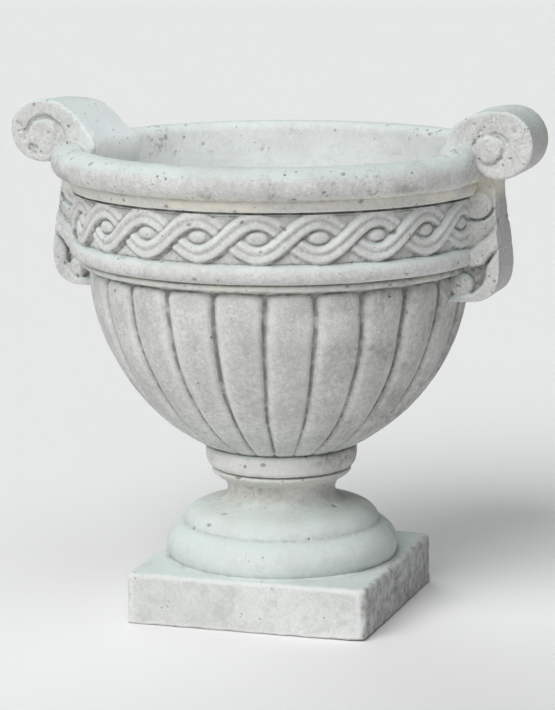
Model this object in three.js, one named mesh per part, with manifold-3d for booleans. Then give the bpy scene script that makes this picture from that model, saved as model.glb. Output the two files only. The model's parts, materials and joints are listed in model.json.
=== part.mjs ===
// Cast-stone urn planter: a square plinth, a round socle and a gadrooned bowl with an interlaced
// guilloche frieze, two scroll handles hooked over the lip and a leaf console under each of them.
// Millimetres, +Z up. The origin is the centre of the plinth's underside, the handles lie along X,
// and angles run from -Y towards +X.

import * as THREE from 'three';
import { mergeVertices } from 'three/addons/utils/BufferGeometryUtils.js';
import Module from 'manifold-3d';

const wasm = await Module();
wasm.setup();

// ---------------------------------------------------------------- driving dimensions

const CLEARANCE = 0.3;            // open joint between two pieces that touch
const BED = 1.4;                  // thickness of a mortar bed
const BED_INSET = 2;              // a bed is raked back this far behind the castings' faces
const DRAIN_RADIUS = 14;          // drain bore down through all the castings

// plinth
const PLINTH_SIDE = 225;
const PLINTH_HEIGHT = 47.5;
const PLINTH_CORNER = 9;          // radius of the upright corners
const PLINTH_ARRIS = 3;           // radius of the horizontal edges
const PLINTH_MARGIN = 6;          // from the torus to the plinth's sides

// socle, from the bottom up: torus, step, roll, scotia, neck and ring
const TORUS_HEIGHT = 30;
const TORUS_TUCK = 3.5;           // how far the torus draws in at its foot
const TORUS_BELLY_UP = 9.5;       // its fullest place, above its foot
const STEP_IN = 17;               // from the torus in to the roll
const STEP_RISE = 2;              // height of the small upright step on the torus
const ROLL_HEIGHT = 12;
const ROLL_SHOULDER = 18.5;       // from the roll's face in to the start of the scotia
const SHAFT_HEIGHT = 39;          // scotia, neck and ring
const NECK_RADIUS = 49.6;
const NECK_BELOW_TOP = 20.5;      // the narrowest place, below the top of the socle
const NECK_SWEEP = 8;             // how far the curves above and below the neck reach
const RING_HEIGHT = 8;            // the small ring under the joint
const RING_SWELL = 3;             // how far the ring swells over its foot
const JOINT_RADIUS = 63.5;        // where socle and collar meet

// bowl, heights of its mouldings from the bottom up, and how far each stands out
const COLLAR_HEIGHT = 19.5;
const COLLAR_RADIUS = 69.5;
const COLLAR_EDGE = 2;            // plain edges under and over the collar's rounded face
const CUP_HEIGHT = 166.5;         // the gadrooned cup
const CUP_RADIUS = 173.7;
const CUP_FULLNESS = 1.935;       // 2 is an ellipse, less is a leaner cup
const LOW_FILLET_HEIGHT = 8;
const LOW_FILLET_PROUD = 7.3;     // beyond the cup
const FILLET_EDGE = 1.5;          // chamfer of the small square mouldings
const BEAD_HEIGHT = 18;
const BEAD_PROUD = 9.5;           // beyond the low fillet
const FRIEZE_HEIGHT = 45;
const FRIEZE_PROUD = 9.3;         // beyond the cup
const COVE_HEIGHT = 11;
const COVE_PROUD = 7.5;           // beyond the frieze
const LIP_HEIGHT = 28;
const LIP_OVERHANG = 12;          // beyond the foot of the lip
const LIP_FOOT_PROUD = 4;         // beyond the cove
const LIP_ROUND = 16.5;           // from the lip's widest place in to its crest
const LIP_WIDTH = 30.5;           // from the lip's widest place in to the mouth
const MOUTH_ROUND = 9;            // radius that eases the lip's crest into the inner wall
const WALL = 21;                  // wall of the cup
const LOBE_BITE = 2;              // how far cup and collar run into each other
const INNER_CURVE_TOP = 12;       // the cup's inner curve ends this far below its top
const INNER_FULLNESS = 70;        // length of the inner curve's level start above the floor
const FLOOR_THICKNESS = 30;
const FLOOR_RADIUS = 46;
const SPIGOT_RADIUS = 30;         // tenon under the bowl, in a socket of the socle
const SPIGOT_LENGTH = 17;
const SPIGOT_PLAY = 0.6;

// gadroons
const GADROONS = 24;
const GROOVE_DEPTH = 6.5;
const GADROON_HEAD = 11;          // height of a lobe's rounded head
const GROOVE_FADE = 0.25;         // share of a groove's depth that is left at the axis
const LOBE_ROUND = 2.6;           // a higher power makes flatter lobes with narrower grooves
const GROOVE_ANGLE = THREE.MathUtils.degToRad(-2.1);

// guilloche
const EYES = 22;                  // openings between the two strands, a pearl in each
const EYE_ANGLE = THREE.MathUtils.degToRad(11.9);
const STRAND_WIDTH = 18.5;
const STRAND_RISE = 5;            // how far a strand stands out of the frieze
const STRAND_GROOVE = 2.2;        // depth of the groove that splits a strand into two reeds
const STRAND_CREST = 0.62;        // a reed's crest, as a share of the way from the groove to the edge
const STRAND_ROOT = 4;            // how far a strand reaches into the frieze
const WEAVE = 1.6;                // a strand swings out by this where it crosses over, in where under
const PEARL_LENGTH = 12.5;
const PEARL_HEIGHT = 10;
const PEARL_RISE = 3.2;

// scroll handles
const SCROLL_RADIUS = 30.5;
const SCROLL_OUT = 9;             // centre of the scroll, beyond the lip
const SCROLL_UP = 6.5;            // and above the lip's crest
const SCROLL_LENGTH = 64;
const SCROLL_EDGE = 2.2;          // bevel round each end face
const TONGUE_THICKNESS = 19;      // of the tongue that laps the inside of the bowl
const TONGUE_DEPTH = 40;          // how far it reaches down from the lip's crest
const TONGUE_BITE = 2;            // the handle's block runs this far into the bowl before it is fitted
const SPIRAL_GROOVE = 2.6;        // width and depth of the spiral cut in the end faces
const SPIRAL_INNER = 11;
const SPIRAL_OUTER = 22;
const SPIRAL_TURNS = 1.3;
const EYE_BOSS_RADIUS = 9.5;
const EYE_BOSS_RISE = 2;

// leaf consoles
const CONSOLE_HEAD_PROUD = 22;    // outer face under the scroll, beyond the frieze
const CONSOLE_BELLY_PROUD = 28.5; // outer face at its fullest
const CONSOLE_TAIL = 23;          // how far the console hangs below the top of the cup
const CONSOLE_BELLY_UP = 29.5;    // fullest place, above the console's bottom
const CONSOLE_HEAD_WIDTH = 40;
const CONSOLE_FOOT_WIDTH = 56;
const CONSOLE_BAND = 8;           // thickness of the band that frames the console's sides
const CONSOLE_RELIEF = 5;         // how far the band stands out of the web behind it
const LEAF_RELIEF = 3.8;          // how far the leaf stands out of the web
const ROUND_RELIEF = 0.6;         // curl and bud stay this far below the band's face
const CURL_RADIUS = 10.7;
const CURL_BACK = 1.3;            // from the console's outer face to the curl
const CURL_DROP = 3.8;            // the curl's centre, below the top of the frieze
const BUD_RADIUS = 8;
const BUD_BACK = 27;              // the bud's centre, behind the fullest place
const BUD_BITE = 1;               // how far the bud sinks into the band under it

// steel dowels
const SOCLE_DOWEL_RADIUS = 4;
const SOCLE_DOWEL_LENGTH = 50;
const SOCLE_DOWEL_COUNT = 3;
const SOCLE_DOWEL_CIRCLE = 62;
const PIN_RADIUS = 3;
const SCROLL_PIN_LENGTH = 36;
const SCROLL_PIN_SPACING = 32;
const CONSOLE_PIN_LENGTH = 30;
const CONSOLE_PIN_BITE = 11;      // how far a console pin enters the bowl
const HOLE_PLAY = 0.3;            // a hole is this much larger all round than its dowel
const HOLE_END = 1;               // and this much longer

// facets
const RING_STEPS = 44;            // round a turned moulding
const SMALL_RING_STEPS = 32;      // round the hollow, the socle and the collar
const BORE_STEPS = 20;
const ROD_STEPS = 10;
const GADROON_STEPS = 4;          // across one lobe
const GADROON_ROWS = 8;           // up one lobe
const STRAND_STEPS = 8;           // along one wave of a strand

// ---------------------------------------------------------------- derived levels and radii

const socleBottom = PLINTH_HEIGHT + BED + 2 * CLEARANCE;
const torusTop = socleBottom + TORUS_HEIGHT;
const rollTop = torusTop + ROLL_HEIGHT;
const socleTop = rollTop + SHAFT_HEIGHT;
const bowlBottom = socleTop + BED + 2 * CLEARANCE;
const cupBottom = bowlBottom + COLLAR_HEIGHT;
const cupTop = cupBottom + CUP_HEIGHT;
const beadBottom = cupTop + LOW_FILLET_HEIGHT;
const friezeBottom = beadBottom + BEAD_HEIGHT;
const friezeTop = friezeBottom + FRIEZE_HEIGHT;
const lipBottom = friezeTop + COVE_HEIGHT;
const lipTop = lipBottom + LIP_HEIGHT;
const lipMiddle = lipBottom + LIP_HEIGHT / 2;
const bowlFloor = bowlBottom + FLOOR_THICKNESS;

const torusRadius = PLINTH_SIDE / 2 - PLINTH_MARGIN;
const torusEdge = torusRadius - TORUS_TUCK;
const rollRadius = torusRadius - STEP_IN;
const cupSpring = COLLAR_RADIUS - COLLAR_EDGE;
const cupMiddle = CUP_RADIUS - WALL / 2;
const lowFilletRadius = CUP_RADIUS + LOW_FILLET_PROUD;
const beadRadius = lowFilletRadius + BEAD_PROUD;
const friezeRadius = CUP_RADIUS + FRIEZE_PROUD;
const coveRadius = friezeRadius + COVE_PROUD;
const lipFoot = coveRadius + LIP_FOOT_PROUD;
const lipRadius = lipFoot + LIP_OVERHANG;
const lipCrest = lipRadius - LIP_ROUND;
const mouthRadius = lipRadius - LIP_WIDTH;

const scrollX = lipRadius + SCROLL_OUT;
const scrollZ = lipTop + SCROLL_UP;
const tongueX = mouthRadius - TONGUE_THICKNESS;
const consoleTop = scrollZ - SCROLL_RADIUS - CLEARANCE;
const consoleBottom = cupTop - CONSOLE_TAIL;
const bellyZ = consoleBottom + CONSOLE_BELLY_UP;
const bellyX = friezeRadius + CONSOLE_BELLY_PROUD;
const headX = friezeRadius + CONSOLE_HEAD_PROUD;

// ---------------------------------------------------------------- helpers

// A closed geometry as a solid for joining and cutting.
function solid(geometry) {
  const bare = geometry.clone();
  bare.deleteAttribute('normal');
  bare.deleteAttribute('uv');
  const merged = mergeVertices(bare, 1e-4);
  const index = merged.index.array;
  const triangles = [];
  for (let k = 0; k < index.length; k += 3) {
    const [a, b, c] = [index[k], index[k + 1], index[k + 2]];
    if (a !== b && b !== c && c !== a) triangles.push(a, b, c);
  }
  return new wasm.Manifold(new wasm.Mesh({
    numProp: 3,
    vertProperties: new Float32Array(merged.attributes.position.array),
    triVerts: new Uint32Array(triangles),
  }));
}

function geometryOf(body) {
  const { vertProperties, triVerts } = body.getMesh();
  const geometry = new THREE.BufferGeometry();
  geometry.setAttribute('position', new THREE.BufferAttribute(vertProperties, 3));
  geometry.setIndex(new THREE.BufferAttribute(triVerts, 1));
  geometry.computeVertexNormals();
  return geometry;
}

// A profile of (radius, height) points turned about Z. The profile runs upwards on the outside.
function turned(points, steps = RING_STEPS, startAngle = 0) {
  return new THREE.LatheGeometry(points, steps, startAngle, 2 * Math.PI).rotateX(Math.PI / 2);
}

// A shape drawn in X and Z, as thick as width along Y and centred on Y = 0.
function slab(shape, width, bevel = 0, curveSegments = 8) {
  const geometry = new THREE.ExtrudeGeometry(shape, {
    depth: width - 2 * bevel,
    bevelEnabled: bevel > 0,
    bevelThickness: bevel,
    bevelSize: bevel,
    bevelOffset: -bevel,
    bevelSegments: 1,
    curveSegments,
  });
  return geometry.rotateX(Math.PI / 2).translate(0, width / 2 - bevel, 0);
}

function uprightRod(radius, length, x, y, bottom, steps = ROD_STEPS) {
  const rod = new THREE.CylinderGeometry(radius, radius, length, steps);
  return rod.rotateX(Math.PI / 2).translate(x, y, bottom + length / 2);
}

function levelRod(radius, length, innerX, z, steps = ROD_STEPS) {
  const rod = new THREE.CylinderGeometry(radius, radius, length, steps);
  return rod.rotateZ(Math.PI / 2).translate(innerX + length / 2, 0, z);
}

// The same outline moved outwards by a distance, corner by corner.
function offsetOutline(points, distance) {
  const count = points.length;
  return points.map((point, k) => {
    const before = points[(k + count - 1) % count];
    const after = points[(k + 1) % count];
    const a = new THREE.Vector2(point.y - before.y, before.x - point.x).normalize();
    const b = new THREE.Vector2(after.y - point.y, point.x - after.x).normalize();
    const mitre = a.clone().add(b).multiplyScalar(distance / (1 + Math.max(a.dot(b), -0.5)));
    return new THREE.Vector2(point.x === 0 ? 0 : point.x + mitre.x, point.y + mitre.y);
  });
}

// ---------------------------------------------------------------- turned profiles

function soclePoints() {
  const path = new THREE.Path();
  const bellyTop = socleBottom + TORUS_BELLY_UP;
  const slope = torusTop - bellyTop;
  const neckZ = socleTop - NECK_BELOW_TOP;
  const ringFoot = socleTop - RING_HEIGHT;
  path.moveTo(DRAIN_RADIUS, socleBottom);
  path.lineTo(torusEdge, socleBottom);
  path.quadraticCurveTo(torusRadius, socleBottom, torusRadius, bellyTop);
  path.bezierCurveTo(torusRadius, bellyTop + slope / 2, torusRadius - STEP_IN / 2, torusTop - STEP_RISE,
    rollRadius + STEP_RISE / 2, torusTop);
  path.lineTo(rollRadius, torusTop + STEP_RISE);
  path.bezierCurveTo(rollRadius, torusTop + ROLL_HEIGHT / 2, rollRadius - ROLL_SHOULDER / 3,
    rollTop - ROLL_HEIGHT / 4, rollRadius - ROLL_SHOULDER, rollTop);
  path.bezierCurveTo(NECK_RADIUS + NECK_SWEEP, rollTop + STEP_RISE / 2,
    NECK_RADIUS, neckZ - NECK_SWEEP, NECK_RADIUS, neckZ);
  path.bezierCurveTo(NECK_RADIUS, neckZ + NECK_SWEEP, JOINT_RADIUS - 3 * RING_SWELL, ringFoot - STEP_RISE,
    JOINT_RADIUS - RING_SWELL, ringFoot);
  path.quadraticCurveTo(JOINT_RADIUS + RING_SWELL, socleTop - RING_HEIGHT / 4, JOINT_RADIUS, socleTop);
  path.lineTo(DRAIN_RADIUS, socleTop);
  path.lineTo(DRAIN_RADIUS, socleBottom);
  return path.getPoints(3);
}

function collarPoints() {
  const path = new THREE.Path();
  const spigotBottom = bowlBottom - SPIGOT_LENGTH;
  const ovoloTop = cupBottom - 2 * COLLAR_EDGE;
  path.moveTo(0, spigotBottom);
  path.lineTo(SPIGOT_RADIUS, spigotBottom);
  path.lineTo(SPIGOT_RADIUS, bowlBottom);
  path.lineTo(JOINT_RADIUS, bowlBottom);
  path.bezierCurveTo(COLLAR_RADIUS, bowlBottom + COLLAR_EDGE / 2,
    COLLAR_RADIUS, bowlBottom + 2 * COLLAR_EDGE, COLLAR_RADIUS, ovoloTop);
  path.quadraticCurveTo(COLLAR_RADIUS, cupBottom, cupSpring - COLLAR_EDGE, cupBottom);
  path.lineTo(cupSpring - 2 * COLLAR_EDGE, cupBottom + 2 * LOBE_BITE);
  path.lineTo(0, cupBottom + 2 * LOBE_BITE);
  return path.getPoints(3);
}

// The mouldings above the cup, as a closed outline round a solid drum.
function drumPoints() {
  const path = new THREE.Path();
  path.moveTo(0, cupTop);
  path.lineTo(lowFilletRadius - FILLET_EDGE, cupTop);
  path.lineTo(lowFilletRadius, cupTop + FILLET_EDGE);
  path.lineTo(lowFilletRadius, beadBottom);
  path.absellipse(lowFilletRadius, beadBottom + BEAD_HEIGHT / 2, BEAD_PROUD, BEAD_HEIGHT / 2,
    -Math.PI / 2, Math.PI / 2);
  path.lineTo(friezeRadius, friezeBottom);
  path.lineTo(friezeRadius, friezeTop);
  path.lineTo(coveRadius - FILLET_EDGE, friezeTop);
  path.quadraticCurveTo(coveRadius, lipBottom - FILLET_EDGE, lipFoot, lipBottom);
  path.absellipse(lipFoot, lipMiddle, LIP_OVERHANG, LIP_HEIGHT / 2, -Math.PI * 0.39, 0);
  path.absellipse(lipCrest, lipMiddle, LIP_ROUND, LIP_HEIGHT / 2, Math.PI * 0.1, Math.PI / 2);
  path.lineTo(0, lipTop);
  return path.getPoints(2);
}

// The hollow of the bowl, open at the top.
function hollowPoints() {
  const path = new THREE.Path();
  const innerRadius = CUP_RADIUS - WALL;
  const open = lipTop + MOUTH_ROUND;
  path.moveTo(0, bowlFloor);
  path.lineTo(FLOOR_RADIUS, bowlFloor);
  path.bezierCurveTo(FLOOR_RADIUS + INNER_FULLNESS, bowlFloor,
    innerRadius, cupTop - INNER_CURVE_TOP - INNER_FULLNESS, innerRadius, cupTop - INNER_CURVE_TOP);
  path.lineTo(mouthRadius, lipTop - MOUTH_ROUND);
  path.quadraticCurveTo(mouthRadius, lipTop, mouthRadius + MOUTH_ROUND, lipTop);
  path.lineTo(mouthRadius + MOUTH_ROUND, open);
  path.lineTo(0, open);
  return path.getPoints(4);
}

// ---------------------------------------------------------------- gadrooned cup

// The crests of the lobes follow a lean quarter ellipse from the low fillet down to the collar. Above
// it the cup runs on into the drum of mouldings.
function cupPoints() {
  const power = 2 / CUP_FULLNESS;
  const points = [new THREE.Vector2(0, cupBottom - LOBE_BITE)];
  const lastAngle = Math.acos((cupSpring / CUP_RADIUS) ** (1 / power));
  for (let row = GADROON_ROWS; row >= 0; row -= 1) {
    const angle = lastAngle * row / GADROON_ROWS;
    points.push(new THREE.Vector2(CUP_RADIUS * Math.cos(angle) ** power,
      cupTop - CUP_HEIGHT * (Math.sin(angle) / Math.sin(lastAngle)) ** power));
  }
  points.push(new THREE.Vector2(CUP_RADIUS, cupTop + LOW_FILLET_HEIGHT / 2));
  points.push(new THREE.Vector2(0, cupTop + LOW_FILLET_HEIGHT / 2));
  return points;
}

// How far the surface lies inside the lobes' crests: nothing on a crest, all of the groove's depth
// between two lobes and above their rounded heads.
function grooveDepth(angle, radius, height) {
  const turn = (angle - GROOVE_ANGLE) * GADROONS / (2 * Math.PI);
  const across = Math.abs(2 * (turn - Math.floor(turn)) - 1);
  const intoHead = Math.max(0, (height - cupTop + GADROON_HEAD) / GADROON_HEAD);
  const reach = Math.min(1, Math.hypot(across, intoHead));
  const deepening = GROOVE_FADE + (1 - GROOVE_FADE) * radius / CUP_RADIUS;
  return GROOVE_DEPTH * deepening * reach ** LOBE_ROUND;
}

function gadroonedCup() {
  const geometry = turned(cupPoints(), GADROONS * GADROON_STEPS, GROOVE_ANGLE);
  const position = geometry.attributes.position;
  for (let k = 0; k < position.count; k += 1) {
    const [x, y, z] = [position.getX(k), position.getY(k), position.getZ(k)];
    const radius = Math.hypot(x, y);
    if (radius < cupSpring / 2) continue;
    const share = 1 - grooveDepth(Math.atan2(x, -y), radius, z) / radius;
    position.setXY(k, x * share, y * share);
  }
  return solid(geometry);
}

// ---------------------------------------------------------------- guilloche

// One strand is a ring of M-shaped section that swings up and down once for every two eyes. It lies
// outermost where it rises and innermost where it falls, so each strand passes over and under.
function strand(startPhase) {
  const half = STRAND_WIDTH / 2;
  const foot = friezeRadius - STRAND_ROOT;
  const crest = friezeRadius + STRAND_RISE;
  const section = [
    new THREE.Vector2(foot, -half),
    new THREE.Vector2(crest, -half * STRAND_CREST),
    new THREE.Vector2(crest - STRAND_GROOVE, 0),
    new THREE.Vector2(crest, half * STRAND_CREST),
    new THREE.Vector2(foot, half),
    new THREE.Vector2(foot, -half),
  ];
  const waves = EYES / 2;
  const swing = (FRIEZE_HEIGHT - STRAND_WIDTH) / 2;
  const middle = friezeBottom + FRIEZE_HEIGHT / 2;
  const geometry = turned(section, waves * STRAND_STEPS, EYE_ANGLE);
  const position = geometry.attributes.position;
  for (let k = 0; k < position.count; k += 1) {
    const [x, y, z] = [position.getX(k), position.getY(k), position.getZ(k)];
    const radius = Math.hypot(x, y);
    const phase = waves * (Math.atan2(x, -y) - EYE_ANGLE) + startPhase;
    const slope = -swing * waves * Math.sin(phase) / radius;
    const share = 1 - WEAVE * Math.sin(phase) / radius;
    position.setXYZ(k, x * share, y * share, middle + swing * Math.cos(phase) + z * Math.hypot(1, slope));
  }
  return solid(geometry);
}

function pearl(eye) {
  const angle = EYE_ANGLE + 2 * Math.PI * eye / EYES;
  const geometry = new THREE.SphereGeometry(1, 6, 4);
  geometry.scale(PEARL_LENGTH / 2, PEARL_RISE, PEARL_HEIGHT / 2);
  geometry.translate(0, -friezeRadius, friezeBottom + FRIEZE_HEIGHT / 2);
  return solid(geometry.rotateZ(angle));
}

function guilloche() {
  let relief = strand(0).add(strand(Math.PI));
  for (let eye = 0; eye < EYES; eye += 1) relief = relief.add(pearl(eye));
  // The frieze is plain behind each console.
  const bare = CONSOLE_FOOT_WIDTH + 2 * CLEARANCE;
  const pad = new THREE.BoxGeometry(3 * lipRadius, bare, lipRadius).translate(0, 0, friezeBottom);
  return relief.subtract(solid(pad));
}

// ---------------------------------------------------------------- handles and consoles

// Side outline of a handle: a tongue up the inside of the bowl, over into a round scroll.
function scrollShape() {
  const shape = new THREE.Shape();
  const tongueBottom = lipTop - TONGUE_DEPTH;
  const top = scrollZ + SCROLL_RADIUS;
  const insideWall = mouthRadius - TONGUE_BITE;
  shape.moveTo(insideWall, tongueBottom);
  shape.lineTo(tongueX + 12, tongueBottom);
  shape.bezierCurveTo(tongueX - 3, tongueBottom + 10, tongueX - 7, lipTop - 6, tongueX + 2, lipTop + 3);
  shape.bezierCurveTo(tongueX + 10, lipTop + 12, tongueX + 18, top - 12, tongueX + 32, top - 4);
  shape.bezierCurveTo(tongueX + 39, top - 1, scrollX - 9, top, scrollX, top);
  shape.absarc(scrollX, scrollZ, SCROLL_RADIUS, Math.PI / 2, -Math.PI * 0.62, true);
  shape.lineTo(lipCrest, lipMiddle);
  shape.lineTo(insideWall, tongueBottom);
  return shape;
}

// The spiral line cut into both end faces, as an open band of constant width.
function spiralShape() {
  const steps = 14;
  const rim = (side) => (_, k) => {
    const turn = k / steps;
    const angle = Math.PI * 1.15 - turn * SPIRAL_TURNS * 2 * Math.PI;
    const radius = SPIRAL_OUTER + (SPIRAL_INNER - SPIRAL_OUTER) * turn + side * SPIRAL_GROOVE / 2;
    return new THREE.Vector2(
      scrollX + radius * Math.cos(angle), scrollZ + radius * Math.sin(angle));
  };
  const outer = Array.from({ length: steps + 1 }, rim(1));
  const inner = Array.from({ length: steps + 1 }, rim(-1)).reverse();
  return new THREE.Shape([...outer, ...inner]);
}

function scrollHandle(bowlSpace, pinHoles) {
  let body = solid(slab(scrollShape(), SCROLL_LENGTH, SCROLL_EDGE, 6));
  for (const end of [-1, 1]) {
    const y = end * SCROLL_LENGTH / 2;
    body = body.subtract(solid(slab(spiralShape(), 2 * SPIRAL_GROOVE).translate(0, y, 0)));
    const boss = new THREE.CylinderGeometry(EYE_BOSS_RADIUS - 2, EYE_BOSS_RADIUS, EYE_BOSS_RISE + 1, 12);
    if (end < 0) boss.rotateX(Math.PI);
    boss.translate(scrollX, y + end * (EYE_BOSS_RISE - 1) / 2, scrollZ);
    body = body.add(solid(boss));
  }
  body = body.subtract(bowlSpace);
  for (const hole of pinHoles) body = body.subtract(hole);
  return body;
}

// Side outline of a console, from the scroll above it down to its rounded foot.
function consoleShape(inset) {
  const shape = new THREE.Shape();
  const bottom = consoleBottom + inset;
  const belly = bellyX - inset;
  const head = headX - inset;
  shape.moveTo(cupMiddle, bottom);
  shape.lineTo(bellyX - 24, bottom);
  shape.bezierCurveTo(bellyX - 8, bottom, belly, bellyZ - 20 + inset, belly, bellyZ);
  shape.bezierCurveTo(belly, bellyZ + 25, head, friezeTop - 25, head, consoleTop);
  shape.lineTo(mouthRadius + MOUTH_ROUND / 2, consoleTop);
  return shape;
}

function leafShape() {
  const shape = new THREE.Shape();
  const [x, z] = [bellyX, consoleBottom];
  shape.moveTo(x - 4, z + 84);
  shape.bezierCurveTo(x - 13, z + 74, x - 30, z + 66, x - 34.5, z + 50);
  shape.bezierCurveTo(x - 36, z + 36, x - 15, z + 34, x - 7, z + 51);
  shape.bezierCurveTo(x - 3, z + 60, x - 3, z + 74, x - 4, z + 84);
  return shape;
}

// The console widens downwards, so a slab's sides are spread in proportion to the depth below the lip.
function spread(geometry, relief) {
  const position = geometry.attributes.position;
  for (let k = 0; k < position.count; k += 1) {
    const down = THREE.MathUtils.clamp(
      (lipBottom - position.getZ(k)) / (lipBottom - bellyZ), 0, 1);
    const half = (CONSOLE_HEAD_WIDTH + (CONSOLE_FOOT_WIDTH - CONSOLE_HEAD_WIDTH) * down) / 2 - relief;
    position.setY(k, Math.sign(position.getY(k)) * half);
  }
  return geometry;
}

function leafConsole(bowlSpace, pinHoles) {
  const frame = solid(spread(slab(consoleShape(0), 2), 0));
  const window = solid(spread(slab(consoleShape(CONSOLE_BAND), 2), -1));
  const web = solid(spread(slab(consoleShape(CONSOLE_BAND / 2), 2), CONSOLE_RELIEF));
  const leaf = solid(spread(slab(leafShape(), 2, 0, 5), CONSOLE_RELIEF - LEAF_RELIEF));
  const curl = new THREE.Shape().absarc(
    headX - CURL_BACK - CURL_RADIUS, friezeTop - CURL_DROP, CURL_RADIUS, 0, 2 * Math.PI);
  const bud = new THREE.Shape().absarc(
    bellyX - BUD_BACK, consoleBottom + CONSOLE_BAND + BUD_RADIUS - BUD_BITE, BUD_RADIUS, 0, 2 * Math.PI);
  let body = frame.subtract(window).add(web).add(leaf);
  for (const round of [curl, bud]) body = body.add(solid(spread(slab(round, 2, 0, 10), ROUND_RELIEF)));
  body = body.subtract(bowlSpace);
  for (const hole of pinHoles) body = body.subtract(hole);
  return body;
}

// ---------------------------------------------------------------- dowels and their holes

const scrollPinX = lipCrest + 4;
const scrollPinBottom = lipTop - SCROLL_PIN_LENGTH / 2;
const consolePinX = friezeRadius - CONSOLE_PIN_BITE;
const consolePinHeights = [friezeBottom + FRIEZE_HEIGHT * 0.6, beadBottom + BEAD_HEIGHT / 2];
const scrollPinYs = [-SCROLL_PIN_SPACING / 2, SCROLL_PIN_SPACING / 2];
const socleDowelBottom = PLINTH_HEIGHT - SOCLE_DOWEL_LENGTH / 2 + BED / 2;

const scrollPins = scrollPinYs.map((y) =>
  uprightRod(PIN_RADIUS, SCROLL_PIN_LENGTH, scrollPinX, y, scrollPinBottom));
const scrollPinHoles = scrollPinYs.map((y) => solid(uprightRod(PIN_RADIUS + HOLE_PLAY,
  SCROLL_PIN_LENGTH + 2 * HOLE_END, scrollPinX, y, scrollPinBottom - HOLE_END)));

const consolePins = consolePinHeights.map((z) => levelRod(PIN_RADIUS, CONSOLE_PIN_LENGTH, consolePinX, z));
const consolePinHoles = consolePinHeights.map((z) => solid(levelRod(PIN_RADIUS + HOLE_PLAY,
  CONSOLE_PIN_LENGTH + 2 * HOLE_END, consolePinX - HOLE_END, z)));

function socleDowel(index, play) {
  const angle = 2 * Math.PI * index / SOCLE_DOWEL_COUNT;
  const length = SOCLE_DOWEL_LENGTH + (play > 0 ? 2 * HOLE_END : 0);
  const bottom = socleDowelBottom - (play > 0 ? HOLE_END : 0);
  return uprightRod(SOCLE_DOWEL_RADIUS + play, length,
    SOCLE_DOWEL_CIRCLE * Math.sin(angle), -SOCLE_DOWEL_CIRCLE * Math.cos(angle), bottom);
}

function cutDowelHoles(body) {
  let cut = body;
  for (let k = 0; k < SOCLE_DOWEL_COUNT; k += 1) cut = cut.subtract(solid(socleDowel(k, HOLE_PLAY)));
  return cut;
}

// ---------------------------------------------------------------- castings and beds

function plinth() {
  const half = PLINTH_SIDE / 2;
  const shape = new THREE.Shape();
  shape.moveTo(half, half - PLINTH_CORNER);
  for (let corner = 0; corner < 4; corner += 1) {
    const angle = corner * Math.PI / 2;
    const centre = new THREE.Vector2(half - PLINTH_CORNER, half - PLINTH_CORNER)
      .rotateAround(new THREE.Vector2(), angle);
    shape.absarc(centre.x, centre.y, PLINTH_CORNER, angle, angle + Math.PI / 2);
  }
  shape.closePath();
  const block = new THREE.ExtrudeGeometry(shape, {
    depth: PLINTH_HEIGHT - 2 * PLINTH_ARRIS,
    bevelThickness: PLINTH_ARRIS,
    bevelSize: PLINTH_ARRIS,
    bevelOffset: -PLINTH_ARRIS,
    bevelSegments: 2,
    curveSegments: 3,
  }).translate(0, 0, PLINTH_ARRIS);
  const drain = uprightRod(DRAIN_RADIUS, PLINTH_HEIGHT + 2, 0, 0, -1, BORE_STEPS);
  return cutDowelHoles(solid(block).subtract(solid(drain)));
}

function socle() {
  const socketRadius = SPIGOT_RADIUS + SPIGOT_PLAY;
  const socketBottom = bowlBottom - SPIGOT_LENGTH - SPIGOT_PLAY;
  const socket = uprightRod(socketRadius, SPIGOT_LENGTH + 10, 0, 0, socketBottom, SMALL_RING_STEPS);
  const body = solid(turned(soclePoints(), SMALL_RING_STEPS));
  return cutDowelHoles(body.subtract(solid(socket)));
}

function bowl() {
  let body = solid(turned(collarPoints(), SMALL_RING_STEPS));
  body = body.add(gadroonedCup()).add(solid(turned(drumPoints()))).add(guilloche());
  body = body.subtract(solid(turned(hollowPoints(), SMALL_RING_STEPS)));
  body = body.subtract(solid(uprightRod(DRAIN_RADIUS, bowlFloor, 0, 0, 1, BORE_STEPS)));
  for (const hole of [...scrollPinHoles, ...consolePinHoles]) {
    body = body.subtract(hole).subtract(hole.rotate([0, 0, 180]));
  }
  return body;
}

function bed(innerRadius, outerRadius, bottom) {
  return solid(turned([
    new THREE.Vector2(innerRadius, bottom),
    new THREE.Vector2(outerRadius, bottom),
    new THREE.Vector2(outerRadius, bottom + BED),
    new THREE.Vector2(innerRadius, bottom + BED),
    new THREE.Vector2(innerRadius, bottom),
  ], SMALL_RING_STEPS));
}

// The room that the bowl's plain mouldings take up, with the open joint round it.
function bowlSpace() {
  const drum = solid(turned(offsetOutline(drumPoints(), CLEARANCE)));
  const cup = solid(turned(offsetOutline(cupPoints(), CLEARANCE)));
  const hollow = solid(turned(offsetOutline(hollowPoints(), -CLEARANCE), SMALL_RING_STEPS));
  return drum.add(cup).subtract(hollow);
}

// ---------------------------------------------------------------- assembly

const stone = { color: 0xdedfda, roughness: 0.92, metalness: 0 };
const mortar = { color: 0xb9b3a4, roughness: 0.95, metalness: 0 };
const steel = { color: 0xb4b7ba, roughness: 0.35, metalness: 1 };

function piece(name, geometry, finish) {
  const mesh = new THREE.Mesh(geometry, new THREE.MeshStandardMaterial(finish));
  mesh.name = name;
  return mesh;
}

const group = new THREE.Group();
group.add(piece('plinth', geometryOf(plinth()), stone));
group.add(piece('socle', geometryOf(socle()), stone));
group.add(piece('bowl', geometryOf(bowl()), stone));

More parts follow.
